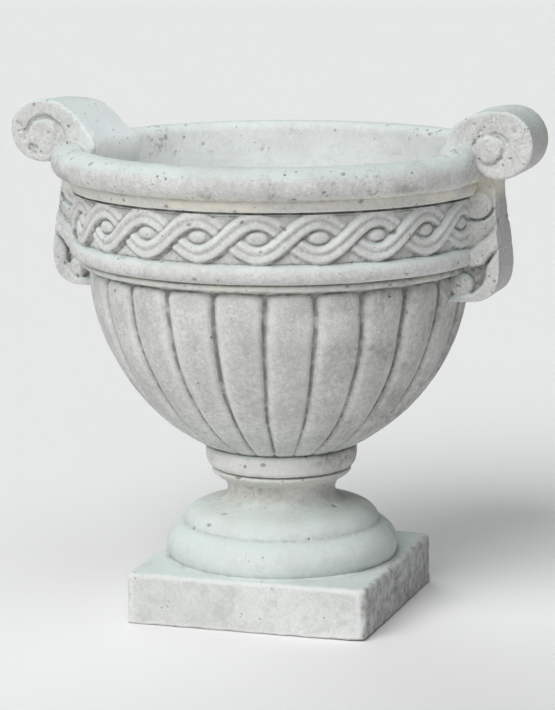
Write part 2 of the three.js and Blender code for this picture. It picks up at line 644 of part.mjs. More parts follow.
const lowerBed = cutDowelHoles(bed(DRAIN_RADIUS + BED_INSET,
  torusEdge - BED_INSET, PLINTH_HEIGHT + CLEARANCE));
group.add(piece('lower_mortar_bed', geometryOf(lowerBed), mortar));
const upperBed = bed(SPIGOT_RADIUS + SPIGOT_PLAY, JOINT_RADIUS - BED_INSET / 2, socleTop + CLEARANCE);
group.add(piece('upper_mortar_bed', geometryOf(upperBed), mortar));

for (let k = 0; k < SOCLE_DOWEL_COUNT; k += 1) {
  group.add(piece(`socle_dowel_${k + 1}`, socleDowel(k, 0), steel));
}

// Both sides are alike, so the left one is the right one turned half round.
const space = bowlSpace();
const handleGeometry = geometryOf(scrollHandle(space, scrollPinHoles));
const consoleGeometry = geometryOf(leafConsole(space, consolePinHoles));
for (const [side, turn] of [['right', 0], ['left', Math.PI]]) {
  const flank = new THREE.Group();
  flank.rotation.z = turn;
  flank.add(piece(`scroll_handle_${side}`, handleGeometry, stone));
  flank.add(piece(`leaf_console_${side}`, consoleGeometry, stone));
  scrollPins.forEach((pin, k) => flank.add(piece(`handle_pin_${side}_${k + 1}`, pin, steel)));
  consolePins.forEach((pin, k) => flank.add(piece(`console_pin_${side}_${k + 1}`, pin, steel)));
  group.add(flank);
}

export default group;
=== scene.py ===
"""Looks of a weathered cast-stone urn planter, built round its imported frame.

Shapes are worked out in millimetres and become metres when a mesh is made. Angles round the axis
run from -Y towards +X, the handles lie along X, and the camera stands in front of the urn, a
little to the right of it. A side is 1 for the right handle or console and -1 for the left one.
"""

import json
import math

import bmesh
import bpy
import numpy as np
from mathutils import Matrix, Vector

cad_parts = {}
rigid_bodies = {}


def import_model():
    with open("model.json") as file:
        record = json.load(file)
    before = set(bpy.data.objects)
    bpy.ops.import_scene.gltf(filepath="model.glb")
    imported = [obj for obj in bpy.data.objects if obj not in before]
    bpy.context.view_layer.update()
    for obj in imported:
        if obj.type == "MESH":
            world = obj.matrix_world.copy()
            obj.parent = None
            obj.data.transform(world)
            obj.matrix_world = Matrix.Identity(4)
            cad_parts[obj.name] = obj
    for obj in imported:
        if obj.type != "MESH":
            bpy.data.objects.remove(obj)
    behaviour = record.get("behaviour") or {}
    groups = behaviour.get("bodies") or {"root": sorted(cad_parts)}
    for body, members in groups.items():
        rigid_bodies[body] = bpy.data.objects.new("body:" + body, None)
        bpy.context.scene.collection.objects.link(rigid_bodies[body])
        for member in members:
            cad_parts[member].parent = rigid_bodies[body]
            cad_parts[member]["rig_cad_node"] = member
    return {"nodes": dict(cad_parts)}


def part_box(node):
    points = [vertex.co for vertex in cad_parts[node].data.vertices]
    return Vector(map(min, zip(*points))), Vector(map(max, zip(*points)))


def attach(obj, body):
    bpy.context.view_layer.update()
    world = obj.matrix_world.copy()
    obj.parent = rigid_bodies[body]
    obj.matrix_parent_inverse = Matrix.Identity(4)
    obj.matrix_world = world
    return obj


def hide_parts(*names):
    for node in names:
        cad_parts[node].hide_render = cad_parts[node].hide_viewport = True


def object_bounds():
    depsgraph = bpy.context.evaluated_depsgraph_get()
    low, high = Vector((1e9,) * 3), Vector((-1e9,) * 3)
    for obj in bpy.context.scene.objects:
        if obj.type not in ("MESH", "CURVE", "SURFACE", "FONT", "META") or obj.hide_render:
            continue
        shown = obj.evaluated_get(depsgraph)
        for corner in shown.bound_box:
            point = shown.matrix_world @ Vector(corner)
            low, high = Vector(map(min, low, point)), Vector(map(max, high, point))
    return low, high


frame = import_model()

cad_low, cad_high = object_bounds()
MM = 0.001
CAD_BOX = np.array(cad_low) / MM, np.array(cad_high) / MM


def span(node):
    """Lowest and highest corner of a node of the frame, in millimetres."""
    low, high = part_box(node)
    return np.array(low) / MM, np.array(high) / MM


# ---------------- sizes, in millimetres

plinth_low, plinth_high = span("plinth")
socle_low, socle_high = span("socle")
bowl_low, bowl_high = span("bowl")

DRAIN_RADIUS = 14
SPIGOT_RADIUS = 30
SPIGOT_LENGTH = 17
JOINT_RADIUS = 63.5     # where socle and collar meet
JOINT_LIP = 0.6         # how far a casting's rim laps a mortar bed

PLINTH_CORNER = 8
PLINTH_ARRIS = 3

TORUS_HEIGHT = 30
TORUS_TUCK = 3.5
TORUS_BELLY_UP = 9.5
STEP_IN = 17
ROLL_HEIGHT = 12
ROLL_SHOULDER = 18.5
NECK_RADIUS = 49.6
NECK_BELOW_TOP = 20.5
RING_HEIGHT = 8
torus_rest = socle_high[0] - TORUS_TUCK     # where the torus meets the plinth

COLLAR_HEIGHT = 19.5
COLLAR_RADIUS = 69.5
CUP_HEIGHT = 166.5
CUP_RADIUS = 173.7
CUP_SPRING = 67.5
CUP_FULLNESS = 1.935
LOW_FILLET_HEIGHT = 8
LOW_FILLET_RADIUS = 181
LOW_ROLL = 2.9          # radius of the small roll on the low fillet
BEAD_HEIGHT = 18
BEAD_PROUD = 9.5
FRIEZE_HEIGHT = 45
FRIEZE_RADIUS = 183
COVE_HEIGHT = 11
COVE_RADIUS = 190.5
LIP_FOOT = 194.5
LIP_OVERHANG = 12
LIP_ROUND = 16.5
LIP_WIDTH = 30.5
MOUTH_ROUND = 9
WALL = 21
FLOOR_THICKNESS = 30
FLOOR_RADIUS = 46

bowl_bottom = bowl_low[2] + SPIGOT_LENGTH
cup_bottom = bowl_bottom + COLLAR_HEIGHT
cup_top = cup_bottom + CUP_HEIGHT
bead_bottom = cup_top + LOW_FILLET_HEIGHT
frieze_bottom = bead_bottom + BEAD_HEIGHT
frieze_top = frieze_bottom + FRIEZE_HEIGHT
lip_bottom = frieze_top + COVE_HEIGHT
lip_top = bowl_high[2]
lip_middle = (lip_bottom + lip_top) / 2
lip_radius = bowl_high[0]
lip_crest = lip_radius - LIP_ROUND
mouth_radius = lip_radius - LIP_WIDTH
bowl_floor = bowl_bottom + FLOOR_THICKNESS

GADROONS = 24
GROOVE_DEPTH = 6.2
GADROON_HEAD = 14
GROOVE_ANGLE = math.radians(-2.1)

EYES = 22
EYE_ANGLE = math.radians(11.9)
STRAND_WIDTH = 15.5
STRAND_RISE = 5
REED_GROOVE = 2.3
WEAVE = 1.5
PEARL = (9.0, 5.9, 4.0)             # half length, half height and rise

SCROLL_RADIUS = 30.3
SCROLL_X = {1: lip_radius + 4.7, -1: lip_radius + 8.9}
SCROLL_Z = lip_top + 6.5
SCROLL_LENGTH = 63.5
FRONT_END_OUT = 9                   # how far a scroll's front end stands in front of the lip
LIP_SWEEP = {1: 9, -1: -2}          # rise of the lip beside each handle
LIP_PINCH = {1: 9, -1: 1}           # and how far its outside draws in there

CONSOLE_BOTTOM = cup_top - 23
CONSOLE_TOP = SCROLL_Z - SCROLL_RADIUS
CONSOLE_BACK = 163                  # distance of its hidden foot from the axis
BELLY_X = FRIEZE_RADIUS + 28.3
BELLY_Z = CONSOLE_BOTTOM + 29.5
HEAD_X = FRIEZE_RADIUS + 22
CONSOLE_HEAD_WIDTH = 40
CONSOLE_FOOT_WIDTH = 56
CONSOLE_LAP = 8                     # how far its carving laps over the bowl's mouldings

CAMERA_PLACE = (0.83417, -2.56791, 0.73387)
CAMERA_TILT = (79.4896, 0.3638, 17.9936)   # degrees about X, Y and Z
CAMERA_SIDE = 0.31                         # angle round the axis that faces the camera
FOCAL_PIXELS = 3000.0
FRAME_HEIGHT = 710.0


# ---------------- noise and small maths

def lattice(cell, seed):
    """A steady random number from 0 to 1 for each whole-numbered cell."""
    x, y, z = cell[..., 0], cell[..., 1], cell[..., 2]
    mixed = (x * 73856093) ^ (y * 19349663) ^ (z * 83492791) ^ (seed * 97531)
    mixed = ((mixed ^ (mixed >> 13)) * 1274126177) & 0xFFFFFFFF
    return ((mixed ^ (mixed >> 16)) & 0xFFFFFF) / 0xFFFFFF


def noise(points, size, seed):
    """Smooth noise from -1 to 1, with bumps about as wide as size."""
    place = points / size
    cell = np.floor(place).astype(np.int64)
    part = place - cell
    part = part * part * (3 - 2 * part)
    total = np.zeros(points.shape[:-1])
    for corner in np.ndindex(2, 2, 2):
        weight = np.ones(points.shape[:-1])
        for axis, step in enumerate(corner):
            weight = weight * (part[..., axis] if step else 1 - part[..., axis])
        total += weight * lattice(cell + np.array(corner), seed)
    return 2 * total - 1


def ramp(low, high, value):
    """A smooth rise from 0 to 1 between low and high."""
    share = np.clip((value - low) / (high - low), 0, 1)
    return share * share * (3 - 2 * share)


def within(value, low, from_here, to_here, high):
    """1 between the two inner numbers, and a smooth fall to 0 on both sides."""
    return ramp(low, from_here, value) * ramp(high, to_here, value)


def bell(value, width):
    """A smooth bump, 1 high at nought."""
    return np.exp(-(value / width) ** 2)


def dome(share):
    """Half a circle, 1 high at nought and flat beyond 1."""
    return np.sqrt(np.clip(1 - share ** 2, 0, 1))


def polar(points):
    """Radius, height and angle round the axis of each point."""
    x, y, z = points.T
    return np.hypot(x, y), z, np.arctan2(x, -y)


def bezier(*knots, count=12, share=None):
    """Points along a straight line or a Bezier curve, evenly from its start or at given shares."""
    degree = len(knots) - 1
    if share is None:
        share = np.linspace(0, 1, count, endpoint=False)
    weights = [math.comb(degree, k) * share ** k * (1 - share) ** (degree - k)
               for k in range(degree + 1)]
    return np.stack(weights, 1) @ np.array(knots, float)


def arc(centre, radii, degrees):
    angle = np.radians(degrees)
    return np.array(centre) + np.array(radii) * np.stack([np.cos(angle), np.sin(angle)], 1)


# ---------------- profiles of turned castings

class Profile:
    """A closed outline of (radius, height) points, up the outside and down the inside.

    Step is about how far apart the points lie."""

    def __init__(self, radius, height):
        self.points = [np.array([radius, height], float)]
        self.marks = {}

    def curve(self, step, *controls):
        """A straight line, or a Bezier curve, on to the last of the control points."""
        knots = np.array([self.points[-1], *controls], float)
        length = np.linalg.norm(np.diff(knots, axis=0), axis=1).sum()
        count = max(1, round(length / step))
        self.points.extend(bezier(*knots, share=np.arange(1, count + 1) / count))

    def oval(self, step, centre, radii, start, end):
        """An arc of an ellipse between two angles in degrees."""
        count = max(2, round(math.radians(abs(end - start)) * max(radii) / step))
        self.points.extend(arc(centre, radii, np.linspace(start, end, count + 1)))

    def mark(self, name):
        self.marks[name] = len(self.points) - 1

    def finished(self):
        """The outline with its corners eased, and the outward normal at each point."""
        points = np.array(self.points)
        for _ in range(2):
            points = points * 0.5 + (np.roll(points, 1, 0) + np.roll(points, -1, 0)) * 0.25
        along = np.roll(points, -1, 0) - np.roll(points, 1, 0)
        along /= np.maximum(np.linalg.norm(along, axis=1, keepdims=True), 1e-9)
        return points, np.stack([along[:, 1], -along[:, 0]], 1)


def cup_curve(count):
    """Crest line of the gadroons, from the collar up to the low fillet."""
    power = 2 / CUP_FULLNESS
    last = math.acos((CUP_SPRING / CUP_RADIUS) ** (1 / power))
    share = np.linspace(1, 0, 400)
    radius = CUP_RADIUS * np.cos(last * share) ** power
    height = cup_top - CUP_HEIGHT * (np.sin(last * share) / math.sin(last)) ** power
    length = np.concatenate([[0], np.cumsum(np.hypot(np.diff(radius), np.diff(height)))])
    # Rows lie closer together towards the rounded heads of the lobes.
    places = length[-1] * (1 - (1 - np.linspace(0, 1, count)) ** 1.35)
    return np.stack([np.interp(places, length, radius), np.interp(places, length, height)], 1)


def cup_radius_at(height):
    """Radius of the gadroons' crest line at each height."""
    radius, level = cup_curve(60).T
    return np.interp(height, level, radius)


def bowl_profile():
    outline = Profile(JOINT_RADIUS + 0.6, bowl_bottom - JOINT_LIP)
    curve, oval, mark = outline.curve, outline.oval, outline.mark
    # Collar and cup.
    curve(1.3, (JOINT_RADIUS + 3.4, bowl_bottom + 0.8), (COLLAR_RADIUS, bowl_bottom + 5),
          (COLLAR_RADIUS, bowl_bottom + 11))
    curve(1.3, (COLLAR_RADIUS, cup_bottom - 4))
    curve(1, (COLLAR_RADIUS, cup_bottom - 0.4), (COLLAR_RADIUS - 4.5, cup_bottom))
    mark("cup_start")
    outline.points.extend(cup_curve(96)[1:])
    mark("cup_end")
    # Low fillet with its small roll, bead, frieze and cove.
    roll = np.array([LOW_FILLET_RADIUS - LOW_ROLL, bead_bottom - LOW_ROLL - 0.9])
    curve(0.9, (CUP_RADIUS - 1, cup_top + 0.4))
    curve(0.9, roll + (-3, -LOW_ROLL))
    oval(0.8, roll, (LOW_ROLL, LOW_ROLL), -85, 80)
    mark("bead_start")
    curve(0.9, roll + (-2.4, LOW_ROLL + 0.6))
    half_bead = BEAD_HEIGHT / 2
    oval(1.3, (LOW_FILLET_RADIUS, bead_bottom + half_bead), (BEAD_PROUD, half_bead), -88, 88)
    curve(1, (FRIEZE_RADIUS, frieze_bottom))
    mark("frieze_start")
    curve(0.9, (FRIEZE_RADIUS, frieze_top))
    mark("frieze_end")
    curve(1.2, (COVE_RADIUS - 1.5, frieze_top))
    curve(1.2, (COVE_RADIUS, frieze_top + 3), (COVE_RADIUS + 0.5, lip_bottom - 1),
          (LIP_FOOT, lip_bottom))
    # Lip and mouth.
    half_lip = (lip_top - lip_bottom) / 2
    oval(1.3, (LIP_FOOT, lip_middle), (LIP_OVERHANG, half_lip), -75, 0)
    oval(1.3, (lip_crest, lip_middle), (LIP_ROUND, half_lip), 8, 90)
    curve(1.5, (mouth_radius + MOUTH_ROUND, lip_top))
    inner_top = np.array([mouth_radius, lip_top - MOUTH_ROUND])
    curve(1.3, (mouth_radius + 1.5, lip_top - 1), inner_top)
    # Inside wall, floor, drain and tenon.
    inner_foot = np.array([CUP_RADIUS - WALL, cup_top - 12])
    for name, height in (("inner_high", frieze_top), ("inner_low", bead_bottom)):
        share = (inner_top[1] - height) / (inner_top[1] - inner_foot[1])
        curve(2.5, inner_top + (inner_foot - inner_top) * share)
        mark(name)
    curve(3, inner_foot)
    curve(6, (CUP_RADIUS - WALL - 6, cup_top - 82), (FLOOR_RADIUS + 62, bowl_floor + 8),
          (FLOOR_RADIUS, bowl_floor))
    curve(4, (DRAIN_RADIUS + 3, bowl_floor - 1))
    curve(2, (DRAIN_RADIUS, bowl_floor - 4))
    curve(12, (DRAIN_RADIUS, bowl_low[2]))
    curve(6, (SPIGOT_RADIUS, bowl_low[2]))
    curve(6, (SPIGOT_RADIUS, bowl_bottom))
    curve(6, (JOINT_RADIUS - 2, bowl_bottom))
    return outline


def socle_profile():
    bottom, top = socle_low[2], socle_high[2]
    torus = socle_high[0]
    roll = torus - STEP_IN
    torus_top = bottom + TORUS_HEIGHT
    belly = bottom + TORUS_BELLY_UP
    roll_top = torus_top + ROLL_HEIGHT
    neck = top - NECK_BELOW_TOP
    ring = top - RING_HEIGHT
    outline = Profile(torus_rest - 3, bottom - 1.7)
    curve = outline.curve
    # Torus, step and roll.
    curve(1, (torus_rest, bottom - 1.7))
    curve(1.3, (torus - 0.3, bottom), (torus, belly))
    curve(1.3, (torus, belly + (torus_top - belly) * 0.45), (torus - 5, torus_top - 5),
          (roll + 1.6, torus_top))
    curve(0.8, (roll + 0.2, torus_top + 0.4), (roll, torus_top + 2.6))
    curve(1.3, (roll - 0.5, torus_top + 7), (roll - 5, roll_top + 1.6),
          (roll - ROLL_SHOULDER, roll_top + 4.6))
    # Scotia, neck and ring.
    curve(1.3, (NECK_RADIUS + 9, roll_top + 7.5), (NECK_RADIUS, neck - 9), (NECK_RADIUS, neck))
    curve(1.1, (NECK_RADIUS, neck + 6), (NECK_RADIUS + 3.4, ring - 2.4), (NECK_RADIUS + 8.4, ring))
    curve(0.8, (JOINT_RADIUS - 2.4, ring + 2.4), (JOINT_RADIUS - 0.2, ring + 3.6),
          (JOINT_RADIUS + 0.7, ring + 5.6))
    curve(0.8, (JOINT_RADIUS + 1, top - 0.8), (JOINT_RADIUS - 1.2, top + JOINT_LIP - 0.2))
    # Socket, drain and underside.
    socket_floor = top - SPIGOT_LENGTH + 2
    curve(6, (SPIGOT_RADIUS + 0.6, top))
    curve(6, (SPIGOT_RADIUS + 0.6, socket_floor))
    curve(6, (DRAIN_RADIUS, socket_floor))
    curve(12, (DRAIN_RADIUS, bottom))
    curve(12, (torus_rest - 9, bottom))
    return outline


# ---------------- relief on the bowl

def gadroon_relief(angle, radius, height):
    """How far the cup's surface lies inside the crest line, as a distance below nought."""
    turn = (angle - GROOVE_ANGLE) * GADROONS / (2 * math.pi)
    turn = turn + 0.025 * np.sin(5 * angle + height / 31) + 0.012 * np.sin(17 * angle - height / 13)
    across = np.abs(2 * (turn - np.floor(turn)) - 1)
    uneven = 1 + 0.10 * np.sin(7 * angle + 1) + 0.08 * np.sin(11 * angle + height / 27)
    into_head = np.clip((height - cup_top + GADROON_HEAD) / GADROON_HEAD, 0, 1.2)
    reach = np.minimum(1, (across ** 2.7 + into_head ** 2.9) ** (1 / 2.75))
    crown = 0.5 * reach ** 2.4 + 0.5 * reach ** 7.5
    fade = ramp(cup_bottom - 1, cup_bottom + 5, height)
    depth = GROOVE_DEPTH * uneven * (0.25 + 0.75 * radius / CUP_RADIUS)
    return -depth * crown * (0.2 + 0.8 * fade)


def strand_height(offset, half):
    """Section of one strand: two reeds side by side with a groove between them."""
    across = np.abs(offset) / half
    reed = np.clip(1 - (np.abs(across - 0.54) / 0.54) ** 2.2, 0, 1)
    shoulder = np.sqrt(np.clip(1 - np.maximum(across - 0.5, 0) ** 2 / 0.25, 0, 1))
    return (STRAND_RISE - REED_GROOVE) * shoulder + REED_GROOVE * reed


def guilloche_relief(angle, height):
    """Height of the interlaced band over the ground of the frieze."""
    waves = EYES / 2
    swing = (FRIEZE_HEIGHT - STRAND_WIDTH) / 2
    half = STRAND_WIDTH / 2
    level = height - (frieze_bottom + FRIEZE_HEIGHT / 2)
    phase = waves * (angle - EYE_ANGLE)
    slope = -swing * waves * np.sin(phase) / FRIEZE_RADIUS
    lean = np.hypot(1, slope)
    falling = (level - swing * np.cos(phase)) / lean
    rising = (level + swing * np.cos(phase)) / lean
    over = np.where(slope > 0, falling, rising)
    under = np.where(slope > 0, rising, falling)
    lift = WEAVE * np.abs(np.sin(phase))
    over_height = strand_height(over, half) + lift * (np.abs(over) < half)
    # The strand below ends in a shadow gap along the edge of the one that crosses it.
    clear = ramp(half - 0.6, half + 2.4, np.abs(over))
    under_height = (strand_height(under, half) - lift * (np.abs(under) < half)) * clear
    relief = np.maximum(np.where(np.abs(over) < half, over_height, 0), under_height)
    # A pearl in each eye, with a shallow trench round it.
    eye = np.round(phase / math.pi) * math.pi
    along = (phase - eye) / waves * FRIEZE_RADIUS / PEARL[0]
    up = level / PEARL[1]
    swell = 1 + 0.16 * np.sin(3.7 * angle + 1) + 0.1 * np.sin(23 * angle)
    pearl = PEARL[2] * np.sqrt(np.clip(swell - (along ** 2 + up ** 2), 0, 1.3)) ** 0.8
    ground = -0.9 * ramp(1.6, 1.0, np.hypot(along, up))
    # Above the strands the ground rises to meet them.
    ground = ground + 1.5 * ramp(4, 17, level) + 3.2 * ramp(15, 22.5, level)
    return np.maximum(relief, np.maximum(ground, pearl))


def worn_guilloche(angle, height):
    """The interlaced band with its edges worn round."""
    total = 0
    for across in (-1.0, 0.0, 1.0):
        for up in (-1.0, 0.0, 1.0):
            total = total + guilloche_relief(angle + across / FRIEZE_RADIUS, height + up)
    return total / 9


# ---------------- meshes

def linked(name, data):
    """A new object in the scene."""
    holder = bpy.data.objects.new(name, data)
    bpy.context.scene.collection.objects.link(holder)
    return holder


def pits(points, normals, count, smallest, largest, seed):
    """Ragged dents at random places, and how much each point belongs to one."""
    random = np.random.default_rng(seed)
    depth = np.zeros(len(points))
    share = np.zeros(len(points))
    # Few holes are left on the trowelled inside of the bowl.
    inner = (np.hypot(points[:, 0], points[:, 1]) < mouth_radius) & (points[:, 2] > bowl_floor)
    left_open = lattice(np.floor(points * 7).astype(np.int64), seed) < 0.12
    likely = np.flatnonzero(~inner | left_open)
    centres = points[likely[random.integers(len(likely), size=count)]]
    radii = smallest + (largest - smallest) * random.random(count) ** 3
    for centre, radius in zip(centres, radii):
        near = np.flatnonzero(np.abs(points[:, 2] - centre[2]) < 1.6 * radius)
        stretch = 1 + 0.6 * (random.random(3) - 0.5)
        away = np.linalg.norm((points[near] - centre) * stretch, axis=1) / radius
        away = away * (1 + 0.25 * noise(points[near], 1.9, seed))
        inside = away < 1
        hole = (1 - away[inside] ** 2) ** 0.7
        where = near[inside]
        depth[where] = np.maximum(depth[where], 0.4 * radius * hole)
        share[where] = np.maximum(share[where], hole)
    return points - normals * depth[:, None], share


def unevenness(points, seed):
    """How far the mould and the weather move the surface, outwards above nought."""
    waves = 0.28 * noise(points, 34, seed) + 0.16 * noise(points, 11, seed + 1)
    return waves + 0.09 * noise(points, 3.6, seed + 2)


def stone_object(name, points, faces):
    """A smooth-shaded mesh object from points in millimetres."""
    mesh = bpy.data.meshes.new(name)
    mesh.vertices.add(len(points))
    mesh.vertices.foreach_set("co", (points * MM).astype(np.float32).ravel())
    mesh.loops.add(faces.size)
    mesh.loops.foreach_set("vertex_index", faces.astype(np.int32).ravel())
    mesh.polygons.add(len(faces))
    starts = np.arange(0, faces.size, faces.shape[1], dtype=np.int32)
    mesh.polygons.foreach_set("loop_start", starts)
    mesh.update(calc_edges=True)
    mesh.shade_smooth()
    mesh.set_sharp_from_angle(angle=math.radians(52))
    return linked(name, mesh)


def paint(piece, **values):
    """Stores a number for each point under a name that the stone's material reads."""
    for name, numbers in values.items():
        attribute = piece.data.attributes.new(name, "FLOAT", "POINT")
        attribute.data.foreach_set("value", np.asarray(numbers, np.float32).ravel())


def grid_normals(grid):
    down = np.roll(grid, -1, 0) - np.roll(grid, 1, 0)
    sideways = np.roll(grid, -1, 1) - np.roll(grid, 1, 1)
    normal = np.cross(sideways, down)
    return normal / np.maximum(np.linalg.norm(normal, axis=2, keepdims=True), 1e-9)


def grid_hollow(grid, normal, rounds):
    """How far each point lies below its smoothed surroundings, in millimetres."""
    smooth = grid
    for _ in range(rounds):
        smooth = (np.roll(smooth, 1, 0) + np.roll(smooth, -1, 0)
                  + np.roll(smooth, 1, 1) + np.roll(smooth, -1, 1)) / 4
    return ((smooth - grid) * normal).sum(2)


def turned_grid(outline, angles, relief, seed):
    """Points of a turned and carved surface: rows along the outline, columns round the axis."""
    points, normals = outline.finished()
    height = relief(angles[None, :], points[:, :1], points[:, 1:])

    def turned(radius, level):
        return np.stack([radius * np.sin(angles), -radius * np.cos(angles),
                         np.broadcast_to(level, height.shape)], 2)

    grid = turned(points[:, :1] + normals[:, :1] * height, points[:, 1:] + normals[:, 1:] * height)
    return grid + turned(normals[:, :1], normals[:, 1:]) * unevenness(grid, seed)[..., None]


def grid_faces(rows, columns, closed=True):
    """Quads of a grid that joins up both ways, or of an open one."""
    ends = 0 if closed else 1
    row, column = np.meshgrid(np.arange(rows - ends), np.arange(columns - ends), indexing="ij")
    next_row, next_column = (row + 1) % rows, (column + 1) % columns
    return np.stack([row * columns + column, row * columns + next_column,
                     next_row * columns + next_column, next_row * columns + column],
                    2).reshape(-1, 4)


def turned_piece(name, grid, rows, pit_count, seed):
    """A closed ring made of the chosen rows of a turned grid."""
    normal = grid_normals(grid)
    points, pitted = pits(grid[rows].reshape(-1, 3), normal[rows].reshape(-1, 3), pit_count,
                          0.9, 3.0, seed)
    points = np.clip(points, *CAD_BOX)
    piece = stone_object(name, points, grid_faces(len(rows), grid.shape[1]))
    paint(piece, hollow=grid_hollow(grid, normal, 5)[rows],
          dell=grid_hollow(grid, normal, 40)[rows], pit=pitted)
    return piece, points


def weld(piece):
    """Joins points that share a place, so that the mesh is one closed body."""
    shape = bmesh.new()
    shape.from_mesh(piece.data)
    bmesh.ops.remove_doubles(shape, verts=shape.verts, dist=0.02 * MM)
    bmesh.ops.recalc_face_normals(shape, faces=shape.faces)
    shape.to_mesh(piece.data)
    shape.free()


def read_all(items, field, width, kind=np.float32):
    flat = np.zeros(len(items) * width, kind)
    items.foreach_get(field, flat)
    return flat.reshape(-1, width)


def coordinates(piece):
    return read_all(piece.data.vertices, "co", 3).astype(float) / MM


def vertex_normals(piece):
    return read_all(piece.data.vertices, "normal", 3).astype(float)


def set_coordinates(piece, points):
    piece.data.vertices.foreach_set("co", (points * MM).astype(np.float32).ravel())
    piece.data.update()


def smoothed(points, piece, rounds, strength=1.0):
    """Points drawn towards the middle of their neighbours, several times over."""
    first, second = read_all(piece.data.edges, "vertices", 2, np.int32).T
    count = np.bincount(np.concatenate([first, second]), minlength=len(points))[:, None]
    for _ in range(rounds):
        total = np.stack([np.bincount(first, points[second, k], len(points))
                          + np.bincount(second, points[first, k], len(points))
                          for k in range(3)], 1)
        points = points + strength * (total / np.maximum(count, 1) - points)
    return points


def mesh_hollow(piece):
    """How far each point lies below its near and its wide surroundings, for paint."""
    points, normals = coordinates(piece), vertex_normals(piece)
    return {name: ((smoothed(points, piece, rounds) - points) * normals).sum(1)
            for name, rounds in (("hollow", 5), ("dell", 40))}


def remeshed(piece, voxel):
    """Replaces the mesh by one closed skin of even quads."""
    modifier = piece.modifiers.new("even", "REMESH")
    modifier.mode = "VOXEL"
    modifier.voxel_size = voxel * MM
    modifier.use_smooth_shade = True
    shown = piece.evaluated_get(bpy.context.evaluated_depsgraph_get())
    mesh = bpy.data.meshes.new_from_object(shown)
    old = piece.data
    piece.modifiers.clear()
    piece.data = mesh
    bpy.data.meshes.remove(old)
    mesh.name = piece.name


# ---------------- turned castings and plinth

def even_angles(count):
    return np.linspace(0, 2 * math.pi, count, endpoint=False)


def gathered_angles(count, copies, start, gather):
    """Angles round the whole circle, gathered towards the lines between the copies."""
    share = np.arange(count) / count
    eased = share - gather * np.sin(2 * math.pi * share) / (2 * math.pi)
    turn = (np.arange(copies)[:, None] + eased[None, :]).ravel()
    return start + turn * 2 * math.pi / copies


def bowl_relief(outline):
    """Carving of cup and frieze, each on its own rows of the outline."""
    def rows(first, last):
        chosen = np.zeros((len(outline.points), 1))
        chosen[outline.marks[first]:outline.marks[last] + 1] = 1
        return chosen

    on_cup, on_frieze = rows("cup_start", "cup_end"), rows("frieze_start", "frieze_end")
    return lambda angle, radius, height: (gadroon_relief(angle, radius, height) * on_cup
                                          + worn_guilloche(angle, height) * on_frieze)


def swept_to_handles(grid):
    """The lip rises towards each handle, and its inner edge sweeps up into the handle's tongue."""
    x, y, z = grid[..., 0], grid[..., 1], grid[..., 2]
    radius = np.hypot(x, y)
    flank = np.abs(x) > 60
    sweep, pinch = (np.where(x > 0, by_side[1], by_side[-1]) for by_side in (LIP_SWEEP, LIP_PINCH))
    beside = ramp(82, 36, np.abs(y)) * flank
    rise = sweep * beside ** 1.3 * ramp(lip_middle - 6, lip_top - 2, z)
    outside = ramp(lip_crest - 8, lip_crest + 8, radius) * ramp(lip_bottom - 6, lip_bottom + 5, z)
    inside = ramp(mouth_radius + MOUTH_ROUND, mouth_radius - 2, radius)
    inward = 5 * ramp(56, 34, np.abs(y)) * inside * ramp(lip_top - 46, lip_top - 12, z) * flank
    inward = inward + pinch * beside * outside
    moved = grid.copy()
    moved[..., 0] -= x / radius * inward
    moved[..., 1] -= y / radius * inward
    moved[..., 2] += rise
    return moved


def in_mouth(radius):
    return ramp(mouth_radius + MOUTH_ROUND, mouth_radius - 4, radius)


def off_front(points):
    """1 where a surface of revolution faces away from the camera, 0 right before it."""
    return ramp(0.35, 0.95, np.abs(polar(points)[2] - CAMERA_SIDE))


def joint_lines(points):
    """Dirt and painted shade along the re-entrant lines between the bowl's mouldings, ragged from
    place to place.
    """
    radius, height, _ = polar(points)
    ragged = 0.62 + 0.55 * noise(points, 9, 61) + 0.4 * noise(points, 3.1, 62)
    wander = 0.7 * noise(points, 7, 63)
    total = np.zeros(len(points))
    for level, reach, strength in (
            (cup_top - 0.4, 2.5, 1.6), (bead_bottom - 0.4, 1.3, 0.7),
            (frieze_bottom + 0.2, 1.5, 0.75), (frieze_top - 0.6, 1.3, 0.2),
            (lip_bottom - 0.3, 1.6, 0.75), (cup_bottom + 0.5, 1.6, 0.7),
            (bowl_bottom - 0.4, 1.0, 0.6)):
        total = np.maximum(total, strength * bell(height - level - wander, reach))
    return np.clip(total * ragged * (radius > JOINT_RADIUS - 2) * (height < lip_middle), 0, 1)


def cup_weathering_and_side_shade(points, outside):
    """Mottled weathering with painted shade, darker towards the right, the side turned from the
    light.
    """
    angle = polar(points)[2]
    mottle = 0.45 + 0.95 * noise(points, 26, 65) + 0.6 * noise(points, 8, 70)
    weather = (0.20 + 0.34 * ramp(0.35, 1.0, angle)) * np.clip(mottle, 0, 1)
    return (weather + 0.26 * ramp(0.4, 1.1, angle)) * outside


def frieze_strand_shadow(points, outside):
    """Painted shadow, ragged, on the ground along the lower edge of each strand, where the strand
    above overhangs it.
    """
    _, height, angle = polar(points)
    overhang = worn_guilloche(angle, height + 2.2) - worn_guilloche(angle, height)
    on_frieze = (height > frieze_bottom + 0.5) & (height < frieze_top - 2) & outside
    ragged = 0.85 + 0.8 * noise(points, 5.2, 64) + 0.5 * noise(points, 2.1, 69)
    return np.clip(ramp(0.7, 2.2, overhang) * ragged, 0, 1) * on_frieze


def lip_soil(points, outside):
    """Clusters of small dirty holes, and patches on the lower half."""
    height = points[:, 2]
    cluster = ramp(0.18, 0.6, noise(points, 22, 80))
    specks = ramp(0.12, 0.5, noise(points, 3.0, 81) + 0.5 * noise(points, 1.7, 82))
    patches = ramp(0.3, 0.7, noise(points, 14, 83)) * outside
    patches = 0.5 * patches * ramp(lip_middle + 4, lip_middle - 8, height)
    return np.maximum(0.85 * cluster * specks, patches) * (height > lip_bottom)


